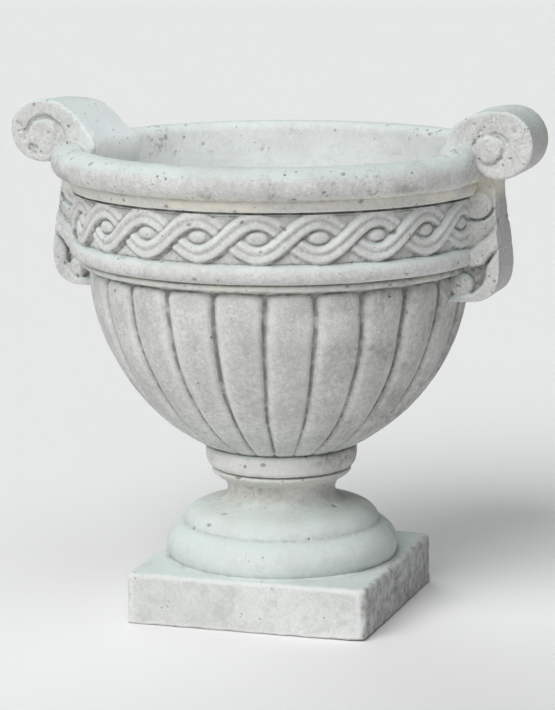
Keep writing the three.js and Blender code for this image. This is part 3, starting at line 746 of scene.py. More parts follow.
def bowl_stain_and_painted_light(points):
    """Yellowish staining under the lip, at the low fillet and beside the handles; its pale colour
    also paints light into the shade under the lip.
    """
    height = points[:, 2]
    under_lip = within(height, frieze_top - 4, frieze_top + 4, lip_bottom, lip_bottom + 7)
    at_fillet = within(height, cup_top - 5, cup_top + 1, bead_bottom, bead_bottom + 3)
    by_handle = ramp(48, 36, np.abs(points[:, 1])) * ramp(lip_middle, lip_bottom - 4, height)
    return 0.9 * under_lip + 0.55 * at_fillet + 1.1 * by_handle * under_lip


def bowl_pieces():
    outline = bowl_profile()
    marks, last = outline.marks, len(outline.points)
    relief = bowl_relief(outline)
    cup_rows = [*range(0, marks["bead_start"] + 1), *range(marks["inner_low"], last)]
    frieze_rows = [*range(marks["bead_start"], marks["frieze_end"] + 1),
                   *range(marks["inner_high"], marks["inner_low"] + 1)]
    lip_rows = [*range(marks["frieze_end"], marks["inner_high"] + 1)]
    made = []
    for name, angles, rows, pit_count, dirt_and_shade in (
            ("bowl_stone_cup", gathered_angles(30, GADROONS, GROOVE_ANGLE, -0.55), cup_rows, 70,
             cup_weathering_and_side_shade),
            ("bowl_stone_frieze", even_angles(EYES * 58), frieze_rows, 150, frieze_strand_shadow),
            ("bowl_stone_lip", even_angles(960), lip_rows, 260, lip_soil)):
        grid = swept_to_handles(turned_grid(outline, angles, relief, 3))
        piece, points = turned_piece(name, grid, rows, pit_count, 11)
        made.append(piece)
        radius, height, _ = polar(points)
        outside = (radius > mouth_radius + MOUTH_ROUND + 2) | (height < bowl_floor - 4)
        outside |= (height < frieze_bottom) & (radius > cup_radius_at(height) - 12)
        outside |= (height > cup_top) & (height < lip_bottom) & (radius > mouth_radius + 3)
        blotch = 0.75 + 0.5 * noise(points, 17, 21)
        # Pale staining that also paints light under the lip, and darkening that is partly painted
        # shade.
        paint(piece, stain=np.clip(bowl_stain_and_painted_light(points) * outside * blotch, 0, 1),
              grime=np.maximum(joint_lines(points) * outside, dirt_and_shade(points, outside)),
              inner=in_mouth(radius) * (height > bowl_floor - 2) * ~outside)
        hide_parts("bowl")
    return made


def socle_piece():
    grid = turned_grid(socle_profile(), even_angles(560),
                       lambda angle, radius, height: 0 * angle * radius, 5)
    piece, points = turned_piece("socle_stone", grid, list(range(len(grid))), 46, 13)
    height = points[:, 2]
    # Painted shade: darker at the torus's foot, less in front, along the step over the torus and in
    # patches under the ring.
    foot = ramp(5, -1, height - socle_low[2]) * (0.5 + 0.5 * noise(points, 13, 8))
    foot = foot * (0.3 + 0.7 * off_front(points))
    step = 0.35 * bell(height - socle_low[2] - TORUS_HEIGHT - 0.4, 1.3)
    neck = socle_high[2] - NECK_BELOW_TOP
    under_ring = within(height, neck - 20, neck, neck + 8, socle_high[2] - 5)
    patchy = np.clip(0.38 + 0.8 * noise(points, 13, 9) + 0.7 * noise(points, 4, 10), 0, 1)
    # Yellowish staining below the neck, whose pale colour also paints light into the neck's shade.
    paint(piece, stain=0.3 * ramp(neck - 26, neck - 6, height),
          grime=np.clip(foot + step + 0.5 * under_ring * patchy, 0, 1))
    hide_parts("socle")
    return piece


def block_grid(counts):
    """Points and faces of the six sides of a unit cube, each side with its own points."""
    points, faces, start = [], [], 0
    for axis in range(3):
        first, second = (axis + 1) % 3, (axis + 2) % 3
        a, b = np.meshgrid(np.linspace(0, 1, counts[first] + 1),
                           np.linspace(0, 1, counts[second] + 1), indexing="ij")
        for end in (0, 1):
            side = np.zeros(a.shape + (3,))
            side[..., first], side[..., second], side[..., axis] = a, b, end
            points.append(side.reshape(-1, 3))
            order = (0, 3, 2, 1) if end else (1, 2, 3, 0)
            faces.append(grid_faces(*a.shape, closed=False)[:, order] + start)
            start += a.size
    return np.concatenate(points), np.concatenate(faces)


def plinth_piece():
    """A square block whose arrises are worn round, more at some places than at others."""
    low, high = plinth_low, plinth_high
    unit, faces = block_grid((118, 118, 30))
    block = low + unit * (high - low)
    wear = 1 + 0.3 * noise(block, 16, 31) + 0.25 * noise(block, 6, 34)
    lower = ramp(6, 0, block[:, 2] - low[2])
    front_right = ramp(60, 0, high[0] - block[:, 0]) * ramp(60, 0, block[:, 1] - low[1])
    wear = wear * (1 - 0.35 * lower + 0.9 * lower * front_right)
    inset = np.array([0.8 * PLINTH_CORNER, 0.8 * PLINTH_CORNER, PLINTH_ARRIS])
    radii = inset * wear[:, None]
    core = np.clip(block, low + radii, high - radii)
    away = block - core
    reach = np.maximum(np.linalg.norm(away / radii, axis=1, keepdims=True), 1e-9)
    on_edge = np.count_nonzero(np.abs(away) > 1e-9, axis=1, keepdims=True) > 1
    rounded = np.where(on_edge, core + away / reach, block)
    normals = away / np.maximum(np.linalg.norm(away, axis=1, keepdims=True), 1e-9)
    rounded += normals * (unevenness(block, 33) * 0.9 - 0.2)[:, None]
    underside = block[:, 2] < low[2] + 0.01
    rounded[:, 2] = np.where(underside, np.maximum(rounded[:, 2], low[2]), rounded[:, 2])
    piece = stone_object("plinth_stone", rounded, faces)
    weld(piece)
    points, pitted = pits(coordinates(piece), vertex_normals(piece), 130, 0.9, 2.8, 35)
    radius = np.hypot(points[:, 0], points[:, 1])
    on_top = ramp(high[2] - 2, high[2] - 0.5, points[:, 2])
    # Mortar pressed out at the torus makes a low fillet round it.
    pressed = on_top * ramp(6.5, 0.5, radius - torus_rest) * (radius > torus_rest - 12)
    points[:, 2] += 1.9 * pressed * (0.8 + 0.35 * noise(points, 6, 40))
    set_coordinates(piece, points)
    # Painted shade on the top round the torus, stronger away from the front.
    at_torus = on_top * ramp(8, 0, np.abs(radius - torus_rest))
    at_torus = at_torus * (0.45 + 0.6 * noise(points, 12, 36)) * (0.25 + 0.75 * off_front(points))
    lower_edge = ramp(3.5, 0, points[:, 2] - low[2]) * (0.35 + 0.65 * noise(points, 6, 37))
    # Dark streaks on the right face, which also paint shade onto that face, turned from the light.
    slanting = points @ np.array([[0.0, 0.0, 0.0], [0.25, 0.75, 0.0], [-0.75, 0.25, 0.0]])
    streaks = 0.5 + 0.7 * noise(slanting + points * 0.12, 5.5, 38) + 0.4 * noise(points, 3.2, 39)
    on_right = ramp(high[0] - 6, high[0] - 1, points[:, 0])
    grime = at_torus + 0.5 * lower_edge + 0.8 * on_right * np.clip(streaks, 0, 1)
    paint(piece, grime=np.clip(grime, 0, 1), pit=pitted, **mesh_hollow(piece))
    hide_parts("plinth")
    return piece


# ---------------- handles and consoles

def outline_slab(name, outline, half_width):
    """An outline in X and Z made into a slab that is twice half_width thick."""
    count = len(outline)
    front = np.insert(outline, 1, -half_width, axis=1)
    back = np.insert(outline, 1, half_width, axis=1)
    mesh = bpy.data.meshes.new(name)
    sides = [(k, (k + 1) % count, count + (k + 1) % count, count + k) for k in range(count)]
    caps = [tuple(range(count - 1, -1, -1)), tuple(range(count, 2 * count))]
    mesh.from_pydata((np.concatenate([front, back]) * MM).tolist(), [], sides + caps)
    return linked(name, mesh)


def from_line(place, line):
    """Distance in the plane to a line of straight runs."""
    nearest = np.full(len(place), 1e9)
    for a, b in zip(np.array(line[:-1], float), np.array(line[1:], float)):
        edge = b - a
        share = np.clip((place - a) @ edge / (edge @ edge), 0, 1)
        nearest = np.minimum(nearest, np.linalg.norm(place - a - share[:, None] * edge, axis=1))
    return nearest


def outline_distance(place, outline):
    """Distance in the plane to a closed outline, below nought inside it."""
    outline = np.array(outline, float)
    inside = np.zeros(len(place), bool)
    for a, b in zip(outline, np.roll(outline, -1, 0)):
        if abs(b[1] - a[1]) > 1e-9:
            edge = b - a
            crosses = (a[1] > place[:, 1]) != (b[1] > place[:, 1])
            inside ^= crosses & (place[:, 0] < a[0] + (place[:, 1] - a[1]) / edge[1] * edge[0])
    nearest = from_line(place, np.concatenate([outline, outline[:1]]))
    return np.where(inside, -nearest, nearest)


def dressed(piece, side, voxel, seed, dirt_and_shade_of, pit_count):
    """Evens out, wears and places a carved piece, and turns the left one half round."""
    remeshed(piece, voxel)
    points = smoothed(coordinates(piece), piece, 1, 0.6)
    dirt_and_shade = dirt_and_shade_of(points, side)
    if side < 0:
        points = points * np.array([-1, -1, 1])
    set_coordinates(piece, points)
    normals = vertex_normals(piece)
    points = points + normals * (unevenness(points, seed) * 0.9 - 0.15)[:, None]
    points, pitted = pits(points, normals, pit_count, 0.8, 2.0, seed)
    points = np.clip(points, *CAD_BOX)
    set_coordinates(piece, points)
    radius, height, _ = polar(points)
    # Yellowish staining under the scroll on the consoles, whose pale colour also paints light into
    # the shade there.
    under_scroll = ramp(frieze_top - 8, frieze_top + 6, height) * (height < CONSOLE_TOP + 1)
    paint(piece, stain=under_scroll * ("console" in piece.name), grime=np.clip(dirt_and_shade, 0, 1),
          pit=pitted, inner=in_mouth(radius) * ("scroll" in piece.name), **mesh_hollow(piece))
    node = piece.name.replace("scroll_stone", "scroll_handle")
    node = node.replace("console_stone", "leaf_console")
    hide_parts(node)
    return piece


# Inner face of each handle up to the scroll, as X beyond its foot's inside and height over the lip.
TONGUE = {
    1: ((12, -40), (-1, -28), (-1, -10), (3, 1), (8, 14), (10, 22), (19, 28), (27, 33)),
    -1: ((12, -40), (-3, -30), (-6, -6), (2, 3), (10, 12), (18, 24.8), (32, 32.8), (39, 35.8))}
ROLL_OVER = {1: 14, -1: 9}          # length of the last straight pull into the scroll

# Carving of each scroll's end faces, from the scroll's middle: the boss has a place, radius and
# rise, a scratch has its ends, width and depth, and a hole has a place, width and depth.
BOSS = {1: ((-9.2, -4.1), 12, 3.4), -1: ((-4.7, -4.4), 17, 2.4)}
SCRATCHES = {
    1: (((11.1, 14.5), (14.2, 10.6), 0.9, 1.3), ((-22, 1), (-16, 7), 1.1, 1.6)),
    -1: (((10.5, -14.6), (5.4, -17), 2.1, 4), ((23.9, 8), (15.8, -0.2), 0.9, 2.2),
         ((21.9, -1.1), (15.8, 0.1), 0.9, 2.0), ((17.5, -3), (15.6, -9), 1.0, 2.2))}
HOLES = {
    1: ((-22.2, 18.1, 1.3, 2.4), (-16.5, 12, 1.4, 2.8), (-10.1, 3.1, 1.3, 2.6),
        (1.6, -11.3, 1.3, 2.4), (19.9, 1.3, 1.1, 2.0), (23.9, 11.9, 1.1, 1.8),
        (-12, 20, 1.5, 1.4), (-9, 19, 1.2, 1.2), (-7, -6, 1.1, 1.5)),
    -1: ((20.6, -7, 1.2, 1.6), (-10.1, -7.7, 1.2, 2.4))}


def scroll_outline(side):
    """Side view of a handle: its tongue rises inside the bowl and rolls over into the scroll."""
    tongue_x = mouth_radius - 19
    inside_wall = mouth_radius - 2
    centre = np.array([SCROLL_X[side], SCROLL_Z])
    knots = [*(np.array(TONGUE[side]) + (tongue_x, lip_top)),
             centre + (-ROLL_OVER[side], SCROLL_RADIUS), centre + (0, SCROLL_RADIUS)]
    bottom = lip_top - 40
    return np.concatenate([
        bezier((inside_wall, bottom), knots[0], count=4),
        *[bezier(*knots[k:k + 4]) for k in (0, 3, 6)],
        arc(centre, SCROLL_RADIUS, np.linspace(90, -112, 30, endpoint=False)),
        bezier(centre + (-12, -28), (lip_crest, lip_middle), count=8),
        bezier((lip_crest, lip_middle), (inside_wall, bottom), count=6),
    ])


def scroll_relief(x, z, side):
    """Carving on the end faces, above nought where it stands out."""
    out, up = x - SCROLL_X[side], z - SCROLL_Z
    eye, boss_radius, boss_rise = BOSS[side]
    across, above = out - eye[0], up - eye[1]
    away, angle = np.hypot(across, above), np.degrees(np.arctan2(above, across))
    uneven_radius = boss_radius * (1 + 0.05 * np.sin(np.radians(3 * angle + 40)))
    relief = boss_rise * dome(away / uneven_radius) ** 0.75
    if side > 0:
        relief -= 0.6 * bell(away - 13.2, 1.5) * ramp(-150, -100, angle)
        relief -= ramp(25, 14, away) * (away > uneven_radius)
        winding, width, depth = 15.2 + 2.6 * ramp(75, 20, angle), 1.0, 2.6
        along = within(angle, 8, 24, 70, 86)
    else:
        winding, depth = 18.3 + 1.4 * np.abs(angle - 90) / 80, 3.4
        width = 1.2 + 0.7 * within(angle, 10, 60, 100, 165)
        along = within(angle, -2, 16, 168, 182)
    relief -= depth * bell(away - winding, width) * along
    place = np.stack([out, up], 1)
    for start, end, width, depth in SCRATCHES[side]:
        relief -= depth * bell(from_line(place, (start, end)), width)
    for hole_out, hole_up, width, depth in HOLES[side]:
        relief -= depth * bell(np.hypot(out - hole_out, up - hole_up), width)
    return relief


def scroll_dirt_and_shade(points, side):
    """Dirt and painted shade in the deep carving of the end faces."""
    x, y, z = points.T
    dirt_and_shade = ramp(-1.3, -3.0, scroll_relief(x, z, side)) * ramp(22, 27, np.abs(y))
    return 0.8 * dirt_and_shade * (0.9 + 0.4 * noise(points, 3.3, 68))


def scroll_piece(side):
    name = "scroll_stone_right" if side > 0 else "scroll_stone_left"
    half = SCROLL_LENGTH / 2
    outline = scroll_outline(side)
    piece = outline_slab(name, outline[::-1], half)
    remeshed(piece, 1.2)
    points = coordinates(piece)
    x, y, z = points.T      # views, so what moves them moves the points
    on_end = np.abs(y) > half - 0.7
    rim = outline_distance(points[:, [0, 2]], outline)
    carved = scroll_relief(x, z, side) - 1.7 * ramp(-3.0, 0, rim) ** 2
    flare = 7 * ramp(lip_top + 16, lip_top - 12, z) * ramp(190, 168, x)
    y += np.sign(y) * np.where(on_end, carved, 0) + y / half * flare
    if side > 0:
        front = ramp(0, half, -y)
        y -= FRONT_END_OUT * front
        x += 2.2 * front
        z += front
    else:
        # This handle is twisted: its tongue is thin in front and thick at the back, and its back
        # droops. It is turned half round later, so its front lies towards +Y here.
        front = (y / half + 1) / 2
        tongue = ramp(SCROLL_X[side] + 2, SCROLL_X[side] - 24, x)
        ragged = 1.3 * noise(points, 5, 71) * ramp(0.7, 1.0, front)
        x += tongue * (7 * front - 6 * (1 - front) + ragged)
        z -= 3 * (1 - front) * ramp(lip_top - 10, lip_top + 20, z)
        end = ramp(0, half, y)
        z += end * (0.8 + 0.05 * (SCROLL_Z + SCROLL_RADIUS - z))
        y += FRONT_END_OUT * end
    set_coordinates(piece, points)
    return dressed(piece, side, 0.8, 50 + side, scroll_dirt_and_shade, 110)


# Lines of the console's carving, as X and height over its foot.
FOLD = ((176.5, 40.8), (188.1, 49.5), (197.3, 57.1), (203.6, 64.5), (208.8, 73.8), (224, 100))
LEAF_TOP = ((208.3, 92), (205.2, 82.5), (200.4, 75.4), (192.1, 71.3), (184.6, 71.5), (180.3, 73),
            (177.0, 60.8), (175.0, 51.7))
LOBE_RIM = ((177.2, 37.6), (182.1, 32.9), (189.7, 30.5), (197.1, 33.0), (202.5, 40.0),
            (207.0, 44.8), (213, 53), (224, 64))
BAND = ((212.6, 51.5), (206.6, 43.6), (199.6, 32.6), (198.0, 27.1), (198.2, 20.7), (195.4, 15.0),
        (188.9, 8.0), (163, 5), (163, -9), (232, -9), (232, 60))
CURL = (190.7, 85.8)
CURL_RADIUS = 12.4
BUD = {1: ((177.4, 15.5), 11), -1: ((186.5, 15.5), 9.8)}     # place and radius
PETAL_FLOOR = -2.6
BACKGROUND = -8.5


def console_outline():
    head_z = CONSOLE_TOP + 4
    return np.concatenate([
        bezier((CONSOLE_BACK, CONSOLE_BOTTOM), (BELLY_X - 24, CONSOLE_BOTTOM), count=8),
        bezier((BELLY_X - 24, CONSOLE_BOTTOM), (BELLY_X - 8, CONSOLE_BOTTOM),
               (BELLY_X, BELLY_Z - 20), (BELLY_X, BELLY_Z), count=20),
        bezier((BELLY_X, BELLY_Z), (BELLY_X, BELLY_Z + 25), (HEAD_X, frieze_top - 25),
               (HEAD_X, head_z), count=20),
        bezier((HEAD_X, head_z), (178, head_z), count=8),
        bezier((178, head_z), (CONSOLE_BACK, CONSOLE_BOTTOM), count=16),
    ])


def console_half(z):
    down = np.clip((lip_bottom - z) / (lip_bottom - BELLY_Z), 0, 1)
    return (CONSOLE_HEAD_WIDTH + (CONSOLE_FOOT_WIDTH - CONSOLE_HEAD_WIDTH) * down) / 2


def console_relief(x, z, side):
    """Carving on the console's sides: curl, leaf folded across, band, bud and deep hollow."""
    up = z - CONSOLE_BOTTOM
    place = np.stack([x, up], 1)
    in_band = outline_distance(place, BAND)
    height = np.where(in_band < 0, 0.6 - 2.6 * ramp(3.2, 0, -in_band), BACKGROUND)
    height = np.where((in_band >= 0) & (up > 70), -2.5, height)
    # The leaf is folded across: its upper part comes from the fold, its lobe hangs below.
    to_fold = from_line(place, FOLD)
    upper = (PETAL_FLOOR + 4.4 * ramp(0, 9, to_fold)
             - 1.8 * ramp(3, 0, from_line(place, LEAF_TOP)))
    rim = ramp(3.6, 0, from_line(place, LOBE_RIM)) * ramp(214, 206, x)
    lower = PETAL_FLOOR + 4.4 * ramp(0, 4.5, to_fold) - 2.4 * rim
    height = np.where(outline_distance(place, (*LOBE_RIM, *FOLD[::-1])) < 0, lower, height)
    height = np.where(outline_distance(place, (*LEAF_TOP, *FOLD)) < 0, upper, height)
    across, above = x - CURL[0], up - CURL[1]
    away = np.hypot(across, above)
    turn = (np.degrees(np.arctan2(above, across)) % 360) / 360
    curl = -0.6 + 3.4 * dome(away / CURL_RADIUS) ** 0.8 - 1.3 * bell(away - 3.4 - 4.4 * turn, 1.1)
    undercut = 5.5 * bell(away - CURL_RADIUS - 1, 1.1) * within(turn, 0.5, 0.56, 0.93, 0.99)
    height = np.where(away < CURL_RADIUS, curl, height - undercut)
    (bud_x, bud_z), bud_radius = BUD[side]
    across, above = x - bud_x, up - bud_z
    away = np.hypot(across, above)
    bud = -5.5 + 7.4 * dome(away / bud_radius)
    if side > 0:
        # A drilled eye with a raised rim.
        off_eye = np.hypot(across - 6.7, above - 4.1)
        bud += 1.5 * bell(off_eye, 3) - 4.2 * bell(off_eye, 1.2)
    else:
        bud -= 1.6 * bell(away, 2.6)
    return np.where(away < bud_radius, np.maximum(height, bud), height)


def console_dirt_and_shade(points, side):
    """Dirt and painted shade in the deep parts of the carving and along its folds."""
    x, y, z = points.T
    place = np.stack([x, z - CONSOLE_BOTTOM], 1)
    dirt_and_shade = 0.85 * ramp(-3.2, -6.5, console_relief(x, z, side))
    dirt_and_shade = np.maximum(dirt_and_shade, bell(from_line(place, FOLD[:5]) - 0.2, 1.2))
    dirt_and_shade = np.maximum(dirt_and_shade, 0.95 * bell(from_line(place, LOBE_RIM[:6]) - 0.6, 1.0))
    if side < 0:
        # The left console hangs in the lip's shade, so it is darkened all over with painted shade.
        dirt_and_shade = dirt_and_shade + 0.22 + 0.14 * noise(points, 8, 67)
    return dirt_and_shade * (0.9 + 0.5 * noise(points, 3.4, 66)) * ramp(10, 14, np.abs(y))


def console_piece(side):
    name = "console_stone_right" if side > 0 else "console_stone_left"
    half = CONSOLE_FOOT_WIDTH / 2
    piece = outline_slab(name, console_outline()[::-1], half)
    remeshed(piece, 0.8)
    points = coordinates(piece)
    x, y, z = points.T      # views, as for the scroll
    on_side = np.abs(y) > half - 0.6
    lap = CONSOLE_LAP * ramp(202, 178, x) * ramp(104, 90, z - CONSOLE_BOTTOM)
    y[:] = y / half * (console_half(z) + lap)
    y += np.sign(y) * np.where(on_side, console_relief(x, z, side), 0)
    set_coordinates(piece, points)
    return dressed(piece, side, 0.7, 60 + side, console_dirt_and_shade, 70)


# ---------------- materials

class Graph:
    """Short names for building a material's nodes."""

    def __init__(self, name):
        self.material = bpy.data.materials.new(name)
        self.material.use_nodes = True
        self.tree = self.material.node_tree
        self.shader = self.tree.nodes["Principled BSDF"]

    def plug(self, socket, value):
        if isinstance(value, bpy.types.NodeSocket):
            self.tree.links.new(value, socket)
        else:
            socket.default_value = value

    def add(self, kind, **inputs):
        node = self.tree.nodes.new(kind)
        for name, value in inputs.items():
            self.plug(node.inputs[name.replace("_", " ")], value)
        return node

    def place(self):
        return self.add("ShaderNodeTexCoord").outputs["Object"]

    def math(self, operation, first, second):
        node = self.add("ShaderNodeMath")
        node.operation = operation
        self.plug(node.inputs[0], first)
        self.plug(node.inputs[1], second)
        return node.outputs[0]

    def times(self, first, second):
        return self.math("MULTIPLY", first, second)

    def between(self, value, low, high, start=0.0, end=1.0):
        """A smooth ramp of a value from low to high, on to start to end."""
        node = self.add("ShaderNodeMapRange")
        node.interpolation_type = "SMOOTHSTEP"
        for socket, number in zip(node.inputs, (value, low, high, start, end)):
            self.plug(socket, number)
        return node.outputs[0]

    def mix(self, factor, first, second):
        """Goes from the first to the second colour."""
        node = self.add("ShaderNodeMix")
        node.data_type = "RGBA"
        for socket, value in ((0, factor), (6, first), (7, second)):
            self.plug(node.inputs[socket], (*value, 1) if isinstance(value, tuple) else value)
        return node.outputs[2]

    def painted(self, name):
        node = self.add("ShaderNodeAttribute")
        node.attribute_name = name
        return node.outputs["Fac"]

    def noise(self, place, scale, detail=3.0, roughness=0.55):
        return self.add("ShaderNodeTexNoise", Vector=place, Scale=scale, Detail=detail,
                        Roughness=roughness).outputs["Fac"]

    def upward(self, vector):
        return self.add("ShaderNodeSeparateXYZ", Vector=vector).outputs["Z"]

    def surface(self, colour, roughness, height=None, bump_distance=0.001, **others):
        """Sets the shader's inputs, with a bump from the height, and gives the material."""
        self.plug(self.shader.inputs["Base Color"], colour)
        self.plug(self.shader.inputs["Roughness"], roughness)
        if height is not None:
            bump = self.add("ShaderNodeBump", Strength=0.8, Distance=bump_distance, Height=height)
            self.plug(self.shader.inputs["Normal"], bump.outputs["Normal"])
        for name, value in others.items():
            self.plug(self.shader.inputs[name.replace("_", " ")], value)
        return self.material


def pore_mask(g, place, scale, largest):
    """Scattered ragged holes in loose clusters, where air bubbles met the mould."""
    bent = g.add("ShaderNodeTexNoise", Vector=place, Scale=scale * 4).outputs["Color"]
    shift = g.add("ShaderNodeVectorMath")
    shift.operation = "MULTIPLY_ADD"
    for socket, value in zip(shift.inputs, (bent, [0.22 / scale] * 3, place)):
        g.plug(socket, value)
    cells = g.add("ShaderNodeTexVoronoi", Vector=shift.outputs[0], Scale=scale)
    chance = g.add("ShaderNodeSeparateColor", Color=cells.outputs["Color"]).outputs["Red"]
    crowd = g.between(g.noise(place, 30, 2), 0.42, 0.62, 0.0, 0.32)
    radius = g.between(g.math("ADD", chance, crowd), 0.86, 1.25, 0.0, largest)
    return g.between(g.math("SUBTRACT", radius, cells.outputs["Distance"]), 0.0, 0.05)


def stone_material():
    """Pale cast stone: mottled, cool on top, stained pale with painted light under edges, darkened
    in its hollows by dirty deposits and painted shade, with painted highlights where it stands
    proud.
    """
    g = Graph("weathered_cast_stone")
    place = g.place()
    broad, patches = g.noise(place, 22, 4), g.noise(place, 75, 5, 0.62)
    mottle, grain = g.noise(place, 250, 4, 0.6), g.noise(place, 520, 3, 0.6)
    speck, sand = g.noise(place, 700, 2, 0.6), g.noise(place, 1300, 2, 0.5)
    level = g.upward(place)
    facing_up = g.upward(g.add("ShaderNodeNewGeometry").outputs["Normal"])
    inner, hollow = g.painted("inner"), g.painted("hollow")

    # Socle, plinth and the bowl's inside are fresher, so their grain shows less.
    fresh = g.math("MAXIMUM", g.between(level, 0.115, 0.1), inner)
    few, half = g.between(fresh, 0, 1, 1, 0.35), g.between(fresh, 0, 1, 1, 0.5)
    on_top = g.times(g.between(facing_up, 0.1, 0.85), g.between(broad, 0.3, 0.6, 0.45, 0.9))
    low = g.times(g.between(level, 0.11, 0.085), g.between(level, 0.043, 0.05, 0.1, 0.55))
    stain = g.times(g.painted("stain"), g.between(patches, 0.3, 0.62, 0.35, 0.95))
    wander = g.math("ADD", level, g.times(g.noise(place, 70, 3), 0.006))
    collar = g.times(g.between(wander, 0.134, 0.140), g.between(wander, 0.155, 0.150))
    # Painted shade, dirty in places: broad dells and small hollows below their surroundings are
    # darkened.
    dell = g.between(g.painted("dell"), 0.25, 2.4, 0.0, 0.42)
    hollow_dirt_and_shade = g.times(g.between(hollow, 0.12, 0.9, 0.0, 0.7),
                   g.between(g.noise(place, 90, 3), 0.35, 0.6, 0.25, 1.0))
    # Darkening painted per point, partly dirty deposits and partly painted shade: lines in creases,
    # shadow under strands, deep carving, feet and sides turned from the light.
    grime = g.times(g.painted("grime"),
                    g.between(g.noise(place, 210, 4), 0.35, 0.65, 0.35, 1.0))
    pores = g.math("MAXIMUM", pore_mask(g, place, 118.0, 0.15), pore_mask(g, place, 240.0, 0.16))

    colour = g.mix(g.between(broad, 0.36, 0.64), (0.62, 0.62, 0.605), (0.72, 0.725, 0.715))
    for factor, tint in (
            (g.between(patches, 0.46, 0.7, 0, 0.6), (0.475, 0.477, 0.468)),
            (g.times(g.between(mottle, 0.47, 0.68, 0.0, 0.42), few), (0.40, 0.402, 0.39)),
            (g.between(mottle, 0.46, 0.3, 0.0, 0.4), (0.88, 0.885, 0.875)),
            (g.times(g.between(grain, 0.35, 0.65, 0.0, 0.45), half), (0.47, 0.472, 0.46)),
            (g.times(g.between(speck, 0.54, 0.7, 0.0, 0.5), half), (0.40, 0.40, 0.39)),
            (g.between(sand, 0.55, 0.75, 0.0, 0.35), (0.92, 0.93, 0.92)),
            (g.math("MAXIMUM", on_top, low), (0.66, 0.745, 0.725)),
            (g.times(inner, 0.55), (0.63, 0.672, 0.675)),
            # Yellowish staining whose pale colour also paints light into the shade under the lip,
            # below the neck and under the scrolls.
            (stain, (0.83, 0.795, 0.69)),
            # Painted light: the collar, in the shade of the cup above it, is made paler.
            (g.times(collar, 0.6), (0.86, 0.86, 0.84)),
            # Painted highlight where a point stands proud of its surroundings.
            (g.between(hollow, -0.05, -0.5, 0.0, 0.5), (0.80, 0.80, 0.785)),
            # Painted shade in broad dells.
            (g.times(dell, g.between(patches, 0.3, 0.6, 0.5, 1.0)), (0.30, 0.295, 0.27)),
            (hollow_dirt_and_shade, (0.14, 0.135, 0.12)),
            (g.times(grime, 0.8), (0.17, 0.165, 0.15)),
            (g.times(pores, 0.72), (0.10, 0.10, 0.093)),
            (g.between(g.painted("pit"), 0.1, 0.85, 0.0, 0.6), (0.15, 0.145, 0.135))):
        colour = g.mix(factor, colour, tint)

    height = g.times(grain, 0.6)
    for layer, share in ((mottle, 0.7), (patches, 0.6), (sand, 0.2), (pores, -1.0)):
        height = g.math("ADD", height, g.times(layer, share))
    return g.surface(colour, g.between(patches, 0.3, 0.7, 0.86, 0.97), height,
                     Specular_IOR_Level=0.22)


def mortar_material():
    g = Graph("raked_mortar")
    grain = g.noise(g.place(), 480, 4)
    colour = g.mix(g.between(grain, 0.3, 0.7), (0.20, 0.19, 0.165), (0.36, 0.345, 0.30))
    return g.surface(colour, g.between(grain, 0.3, 0.7, 0.9, 0.99), grain, 0.0008)


def steel_material():
    g = Graph("brushed_dowel_steel")
    streaks = g.noise(g.place(), 900, 2)
    colour = g.mix(g.between(streaks, 0.3, 0.7), (0.42, 0.43, 0.44), (0.60, 0.61, 0.62))
    return g.surface(colour, g.between(streaks, 0.3, 0.7, 0.28, 0.42), Metallic=1.0)


# ---------------- stage

def floor():
    mesh = bpy.data.meshes.new("studio_floor")
    reach = 40.0
    corners = [(-reach, -reach, 0), (reach, -reach, 0), (reach, reach, 0), (-reach, reach, 0)]
    mesh.from_pydata(corners, [], [(0, 1, 2, 3)])
    piece = linked("studio_floor", mesh)
    g = Graph("pale_floor")
    mesh.materials.append(g.surface((0.9, 0.9, 0.9, 1), 0.95, Specular_IOR_Level=0.0))


def sun(name, turn, rise, strength, colour):
    """A broad soft light, turn degrees right of the camera and rise degrees above the floor."""
    lamp = bpy.data.lights.new(name, "SUN")
    lamp.angle = math.radians(45)
    lamp.energy = strength * math.pi
    lamp.color = colour
    around, up = math.radians(CAMERA_TILT[2] + turn), math.radians(rise)
    direction = Vector((math.sin(around) * math.cos(up), -math.cos(around) * math.cos(up),
                        math.sin(up)))
    linked(name, lamp).rotation_euler = direction.to_track_quat("Z", "Y").to_euler()


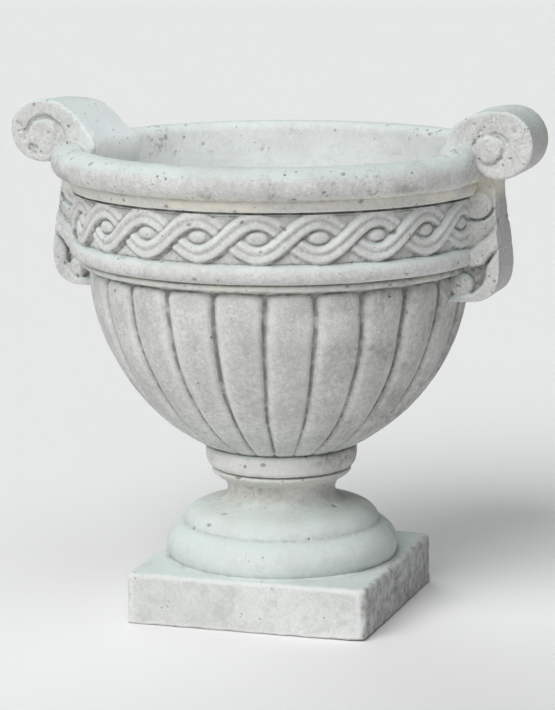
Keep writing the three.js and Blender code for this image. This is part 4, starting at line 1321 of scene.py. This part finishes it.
def bowl_fill(place, target, size, power):
    """A small soft panel over the mouth, which lightens the inside and the left handle."""
    lamp = bpy.data.lights.new("bowl_fill", "AREA")
    lamp.shape = "DISK"
    lamp.size = size
    lamp.energy = power
    holder = linked("bowl_fill", lamp)
    holder.location = place
    holder.rotation_euler = (Vector(target) - Vector(place)).to_track_quat("-Z", "Y").to_euler()
    holder.visible_camera = False


def lights():
    sun("key", -35, 40, 0.77, (1.0, 1.0, 0.995))
    sun("high", 35, 68, 0.17, (0.96, 0.99, 1.0))
    sun("back", -155, 40, 0.26, (0.97, 1.0, 1.0))
    sun("front", 0, 40, 0.08, (1.0, 1.0, 1.0))
    bowl_fill((-0.03, -0.03, 0.49), (-0.19, 0.06, 0.41), 0.13, 0.14)
    world = bpy.data.worlds.new("pale_room")
    world.use_nodes = True
    background = world.node_tree.nodes["Background"]
    background.inputs["Color"].default_value = (0.95, 0.98, 1.0, 1)
    background.inputs["Strength"].default_value = 0.02
    bpy.context.scene.world = world
    bpy.context.scene.view_settings.view_transform = "Standard"


def camera():
    lens = bpy.data.cameras.new("photo_view")
    lens.sensor_width = 36.0
    lens.lens = FOCAL_PIXELS / FRAME_HEIGHT * lens.sensor_width
    lens.clip_start, lens.clip_end = 0.05, 200.0
    holder = linked("photo_view", lens)
    holder.location = CAMERA_PLACE
    holder.rotation_euler = [math.radians(angle) for angle in CAMERA_TILT]
    bpy.context.scene.camera = holder


# ---------------- assembly

def finish_piece(piece, material):
    piece.data.materials.clear()
    piece.data.materials.append(material)
    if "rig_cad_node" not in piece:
        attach(piece, "root")


camera()
lights()
floor()
stone = stone_material()
for casting in [plinth_piece(), socle_piece(), *bowl_pieces(),
                scroll_piece(1), scroll_piece(-1), console_piece(1), console_piece(-1)]:
    finish_piece(casting, stone)
mortar, steel = mortar_material(), steel_material()
for node_name, node in frame["nodes"].items():
    if "mortar_bed" in node_name:
        finish_piece(node, mortar)
    elif "dowel" in node_name or "pin" in node_name:
        finish_piece(node, steel)

bpy.context.view_layer.update()
